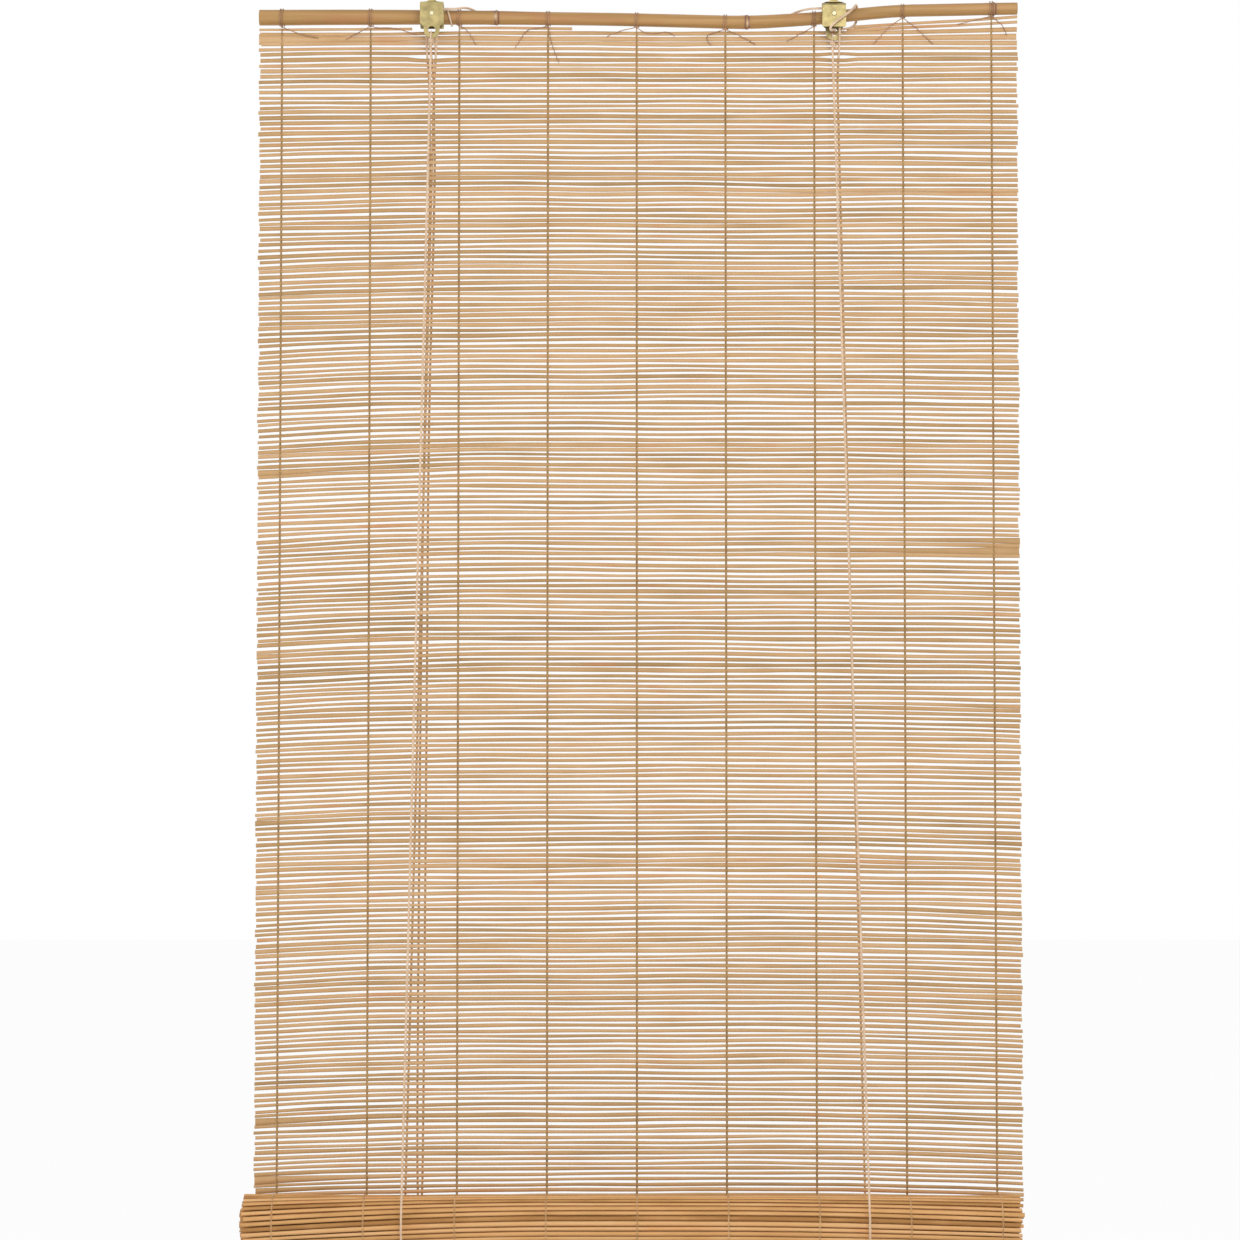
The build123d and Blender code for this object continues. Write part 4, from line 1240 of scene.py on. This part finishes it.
    def pull_cords(self) -> list[bpy.types.Object]:
        """Make the two hanging pull cords and the knot that joins them."""
        y = self.pull_y
        knot_x = -249.5
        heights = (-106.0, -150.0, -217.0, -508.0, -782.0, -1139.0, -1376.0)
        hangs = {
            "a": ((-236.5, -236.5, -234.5, -241.9, -242.8, -244.8, -246.1), knot_x + 1.6),
            "b": ((-242.0, -242.0, -239.9, -246.6, -250.1, -252.2, -253.2), knot_x - 1.6),
        }
        turns = []
        for step in range(41):
            angle = TURN * 3 * step / 40
            z = self.knot_z + 2.0 - 6.0 * step / 40
            turns.append((knot_x + 3.0 * math.cos(angle), y + 3.0 * math.sin(angle), z))
        tassel = []
        for dx, dy in ((-1.5, 0.3), (1.5, -0.3)):
            end = []
            for out, back, fall in ((1.0, 1.0, 1.0), (1.2, 1.0, -8.0), (1.6, 1.5, -12.5)):
                end.append((knot_x + dx * out, y + dy * back, self.knot_z + fall))
            tassel.append(end)
        lines = [spline_points(millimetres(p)) for p in (turns, *tassel)]
        knot = COTTON_CORD.along_all("pull_knot", lines)
        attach(knot, Body.HEAD.value)
        self.dress(knot, "cord_knot")
        made = [knot]
        for letter, (places, end_x) in hangs.items():
            points = [(x, y, z) for x, z in zip(places, heights)]
            points += [(end_x, y, self.knot_z + 50.0), (end_x, y, self.knot_z)]
            line = spline_points(millimetres(points))
            cord = COTTON_CORD.along(f"pull_line_{letter}", line)
            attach(cord, Body.HEAD.value)
            self.dress(cord, f"pull_cord_{letter}")
            made.append(cord)
        return made

    def lashings(self) -> list[bpy.types.Object]:
        """Make the thin lashing round the pole at the left and the thick one across the right bracket."""
        centre_x, tilt, radius = -217.8, 0.28, 10.75
        ring = []
        for step in range(24):
            angle = TURN * step / 24
            up = radius * math.cos(angle) / math.hypot(1, tilt)
            ring.append((centre_x - tilt * up, 17.215 - radius * math.sin(angle), -27.4 + up))
        left = THIN_CORD.along("left_lash", [Vector(p) * MM for p in ring], cyclic=True)
        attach(left, Body.HEAD.value)
        self.dress(left, "left_lashing")
        front, back, over = -9.0, 9.0, -27.5 + 3.3 + 7.45 + 1.6
        route = [
            (239.5, back, -45.4), (238.0, 4.0, -45.2), (236.0, -3.5, -46.7), (232.8, front, -48.2),
            (233.2, front - 2.0, -44.3), (239.5, front - 1.2, -38.5), (254.5, front - 0.6, -27.5),
            (261.5, 0.5, -20.0), (264.5, 9.5, over + 1.2), (266.0, 20.0, over + 1.6),
            (267.0, 27.7, -21.5), (266.0, 27.7, -32.0), (260.5, 19.0, -39.5),
            (251.0, 12.0, -42.5), (243.6, back + 0.4, -44.4),
        ]
        return [left, self.fixed("right_lash", THICK_CORD, route, "right_lashing")]

    def build(self) -> list[bpy.types.Object]:
        """Make every cord of the blind."""
        groups = (self.runs_and_slings, self.eye_knots, self.wheel_cords, self.pull_cords, self.lashings)
        return [cord for group in groups for cord in group()]


@dataclass
class PulleyBrackets:
    """The brass pulley brackets, whose solids keep their shape and get their metal."""

    plates: tuple[str, ...] = ("left_long_plate", "left_short_plate", "right_long_plate", "right_short_plate")
    wheels: tuple[str, ...] = ("left_wheel", "right_wheel")
    rivets: tuple[str, ...] = ("left_axle_rivet", "right_axle_rivet")
    screws: tuple[str, ...] = ("left_fixing_screws", "right_fixing_screws")

    def build(self, nodes: dict[str, bpy.types.Object]) -> list[bpy.types.Object]:
        """Put the brass and the steel on the bracket's nodes.

        Args:
            nodes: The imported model's nodes by name.

        Returns:
            The nodes that were dressed.
        """
        made = []
        metals = (
            (self.plates, BRASS_FINISH), (self.wheels, BRASS_FINISH),
            (self.rivets, RIVET_FINISH), (self.screws, STEEL_FINISH),
        )
        for names, finish in metals:
            for name in names:
                made.append(coat(nodes[name], finish))
        return made


@dataclass
class Studio:
    """Plain pale studio: white background, soft even light, and the camera of the photograph."""

    aim: Point = (-15.3, 17.2, -744.2)
    distance: float = 4477.0
    camera_drop: float = 234.2
    lens: float = 110.5
    floor_z: float = -1560.0
    world_light: float = 0.54
    lights: dict[str, tuple[Point, float, float]] = field(
        default_factory=lambda: {
            "key": ((0.8, -3.6, 0.9), 2.4, 56.0),
            "fill": ((-2.6, -2.4, -0.8), 2.0, 20.0),
        }
    )

    def camera(self) -> None:
        """Set the camera in front of the blind, a little below its middle."""
        data = bpy.data.cameras.new("camera")
        data.lens = self.lens
        data.sensor_width = 36.0
        data.clip_end = 50.0
        eye = bpy.data.objects.new("camera", data)
        bpy.context.scene.collection.objects.link(eye)
        aim = Vector(self.aim) * MM
        eye.location = (aim.x, aim.y - self.distance * MM, aim.z - self.camera_drop * MM)
        eye.rotation_euler = (aim - eye.location).to_track_quat("-Z", "Y").to_euler()
        bpy.context.scene.camera = eye

    def white_where_seen(self, maker: NodeMaker, dim: Any, bright: Any) -> bpy.types.NodeSocket:
        """Choose between two shaders: the bright one for the camera, glossy and transmission rays."""
        path = maker.node("ShaderNodeLightPath")
        seen = maker.maths("MAXIMUM", path.outputs["Is Camera Ray"], path.outputs["Is Glossy Ray"])
        seen = maker.maths("MAXIMUM", seen, path.outputs["Is Transmission Ray"])
        return maker.node("ShaderNodeMixShader", {0: seen, 1: dim, 2: bright}).outputs[0]

    def world(self) -> None:
        """Light the scene evenly from a world that looks white."""
        world = bpy.data.worlds.new("studio")
        world.use_nodes = True
        maker = NodeMaker(world.node_tree)
        world.node_tree.nodes.clear()
        dim, bright = (
            maker.node("ShaderNodeBackground", {"Color": WHITE, "Strength": strength}).outputs[0]
            for strength in (self.world_light, 1.0)
        )
        maker.node("ShaderNodeOutputWorld", {"Surface": self.white_where_seen(maker, dim, bright)})
        bpy.context.scene.world = world

    def lamps(self) -> None:
        """Add a broad key light high in front and a weak fill from the left."""
        for name, (place, size, power) in self.lights.items():
            data = bpy.data.lights.new(name, "AREA")
            data.size = size
            data.energy = power
            lamp = bpy.data.objects.new(name, data)
            lamp.location = place
            lamp.rotation_euler = (Vector((0, 0, -0.75)) - lamp.location).to_track_quat("-Z", "Y").to_euler()
            bpy.context.scene.collection.objects.link(lamp)

    def floor(self) -> None:
        """Lay a pale floor below the hanging blind."""
        mesh = bpy.data.meshes.new("floor")
        reach, z = 14.0, self.floor_z * MM
        corners = [(-reach, -reach, z), (reach, -reach, z), (reach, reach, z), (-reach, reach, z)]
        mesh.from_pydata(corners, [], [(0, 1, 2, 3)])
        floor = new_object("floor", mesh)
        paint = bpy.data.materials.new("pale_floor")
        paint.use_nodes = True
        maker = NodeMaker(paint.node_tree)
        paint.node_tree.nodes.clear()
        plain = maker.node("ShaderNodeBsdfDiffuse", {"Color": (0.92, 0.92, 0.92, 1.0)}).outputs[0]
        glow = maker.node("ShaderNodeEmission", {"Color": WHITE, "Strength": 1.0}).outputs[0]
        pale = maker.node("ShaderNodeMixShader", {0: 0.95, 1: plain, 2: glow}).outputs[0]
        maker.node("ShaderNodeOutputMaterial", {"Surface": self.white_where_seen(maker, plain, pale)})
        mesh.materials.append(paint)

    def build(self) -> None:
        """Set up the view, the light, the floor and the camera."""
        bpy.context.scene.view_settings.view_transform = "Standard"
        self.world()
        self.lamps()
        self.floor()
        self.camera()


def report(pieces: Iterable[bpy.types.Object]) -> None:
    """Log each piece's name and size in faces."""
    for piece in pieces:
        log.info("%s: %d faces", piece.name, len(piece.data.polygons))


def main() -> None:
    """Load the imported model, dress it and set up the studio."""
    logging.basicConfig(level=logging.INFO, format="%(name)s: %(message)s")
    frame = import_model()
    builders: list[Callable[[], Any]] = [
        lambda: [SlatMat().build()],
        RolledMat().build,
        lambda: [HeadPole().build()],
        WarpThreads().build,
        LiftCords().build,
        lambda: PulleyBrackets().build(frame["nodes"]),
    ]
    for build in builders:
        report(build())
    coat(frame["nodes"]["bottom_stick"], POLE_FINISH)
    Studio().build()


if __name__ == "__main__":
    main()
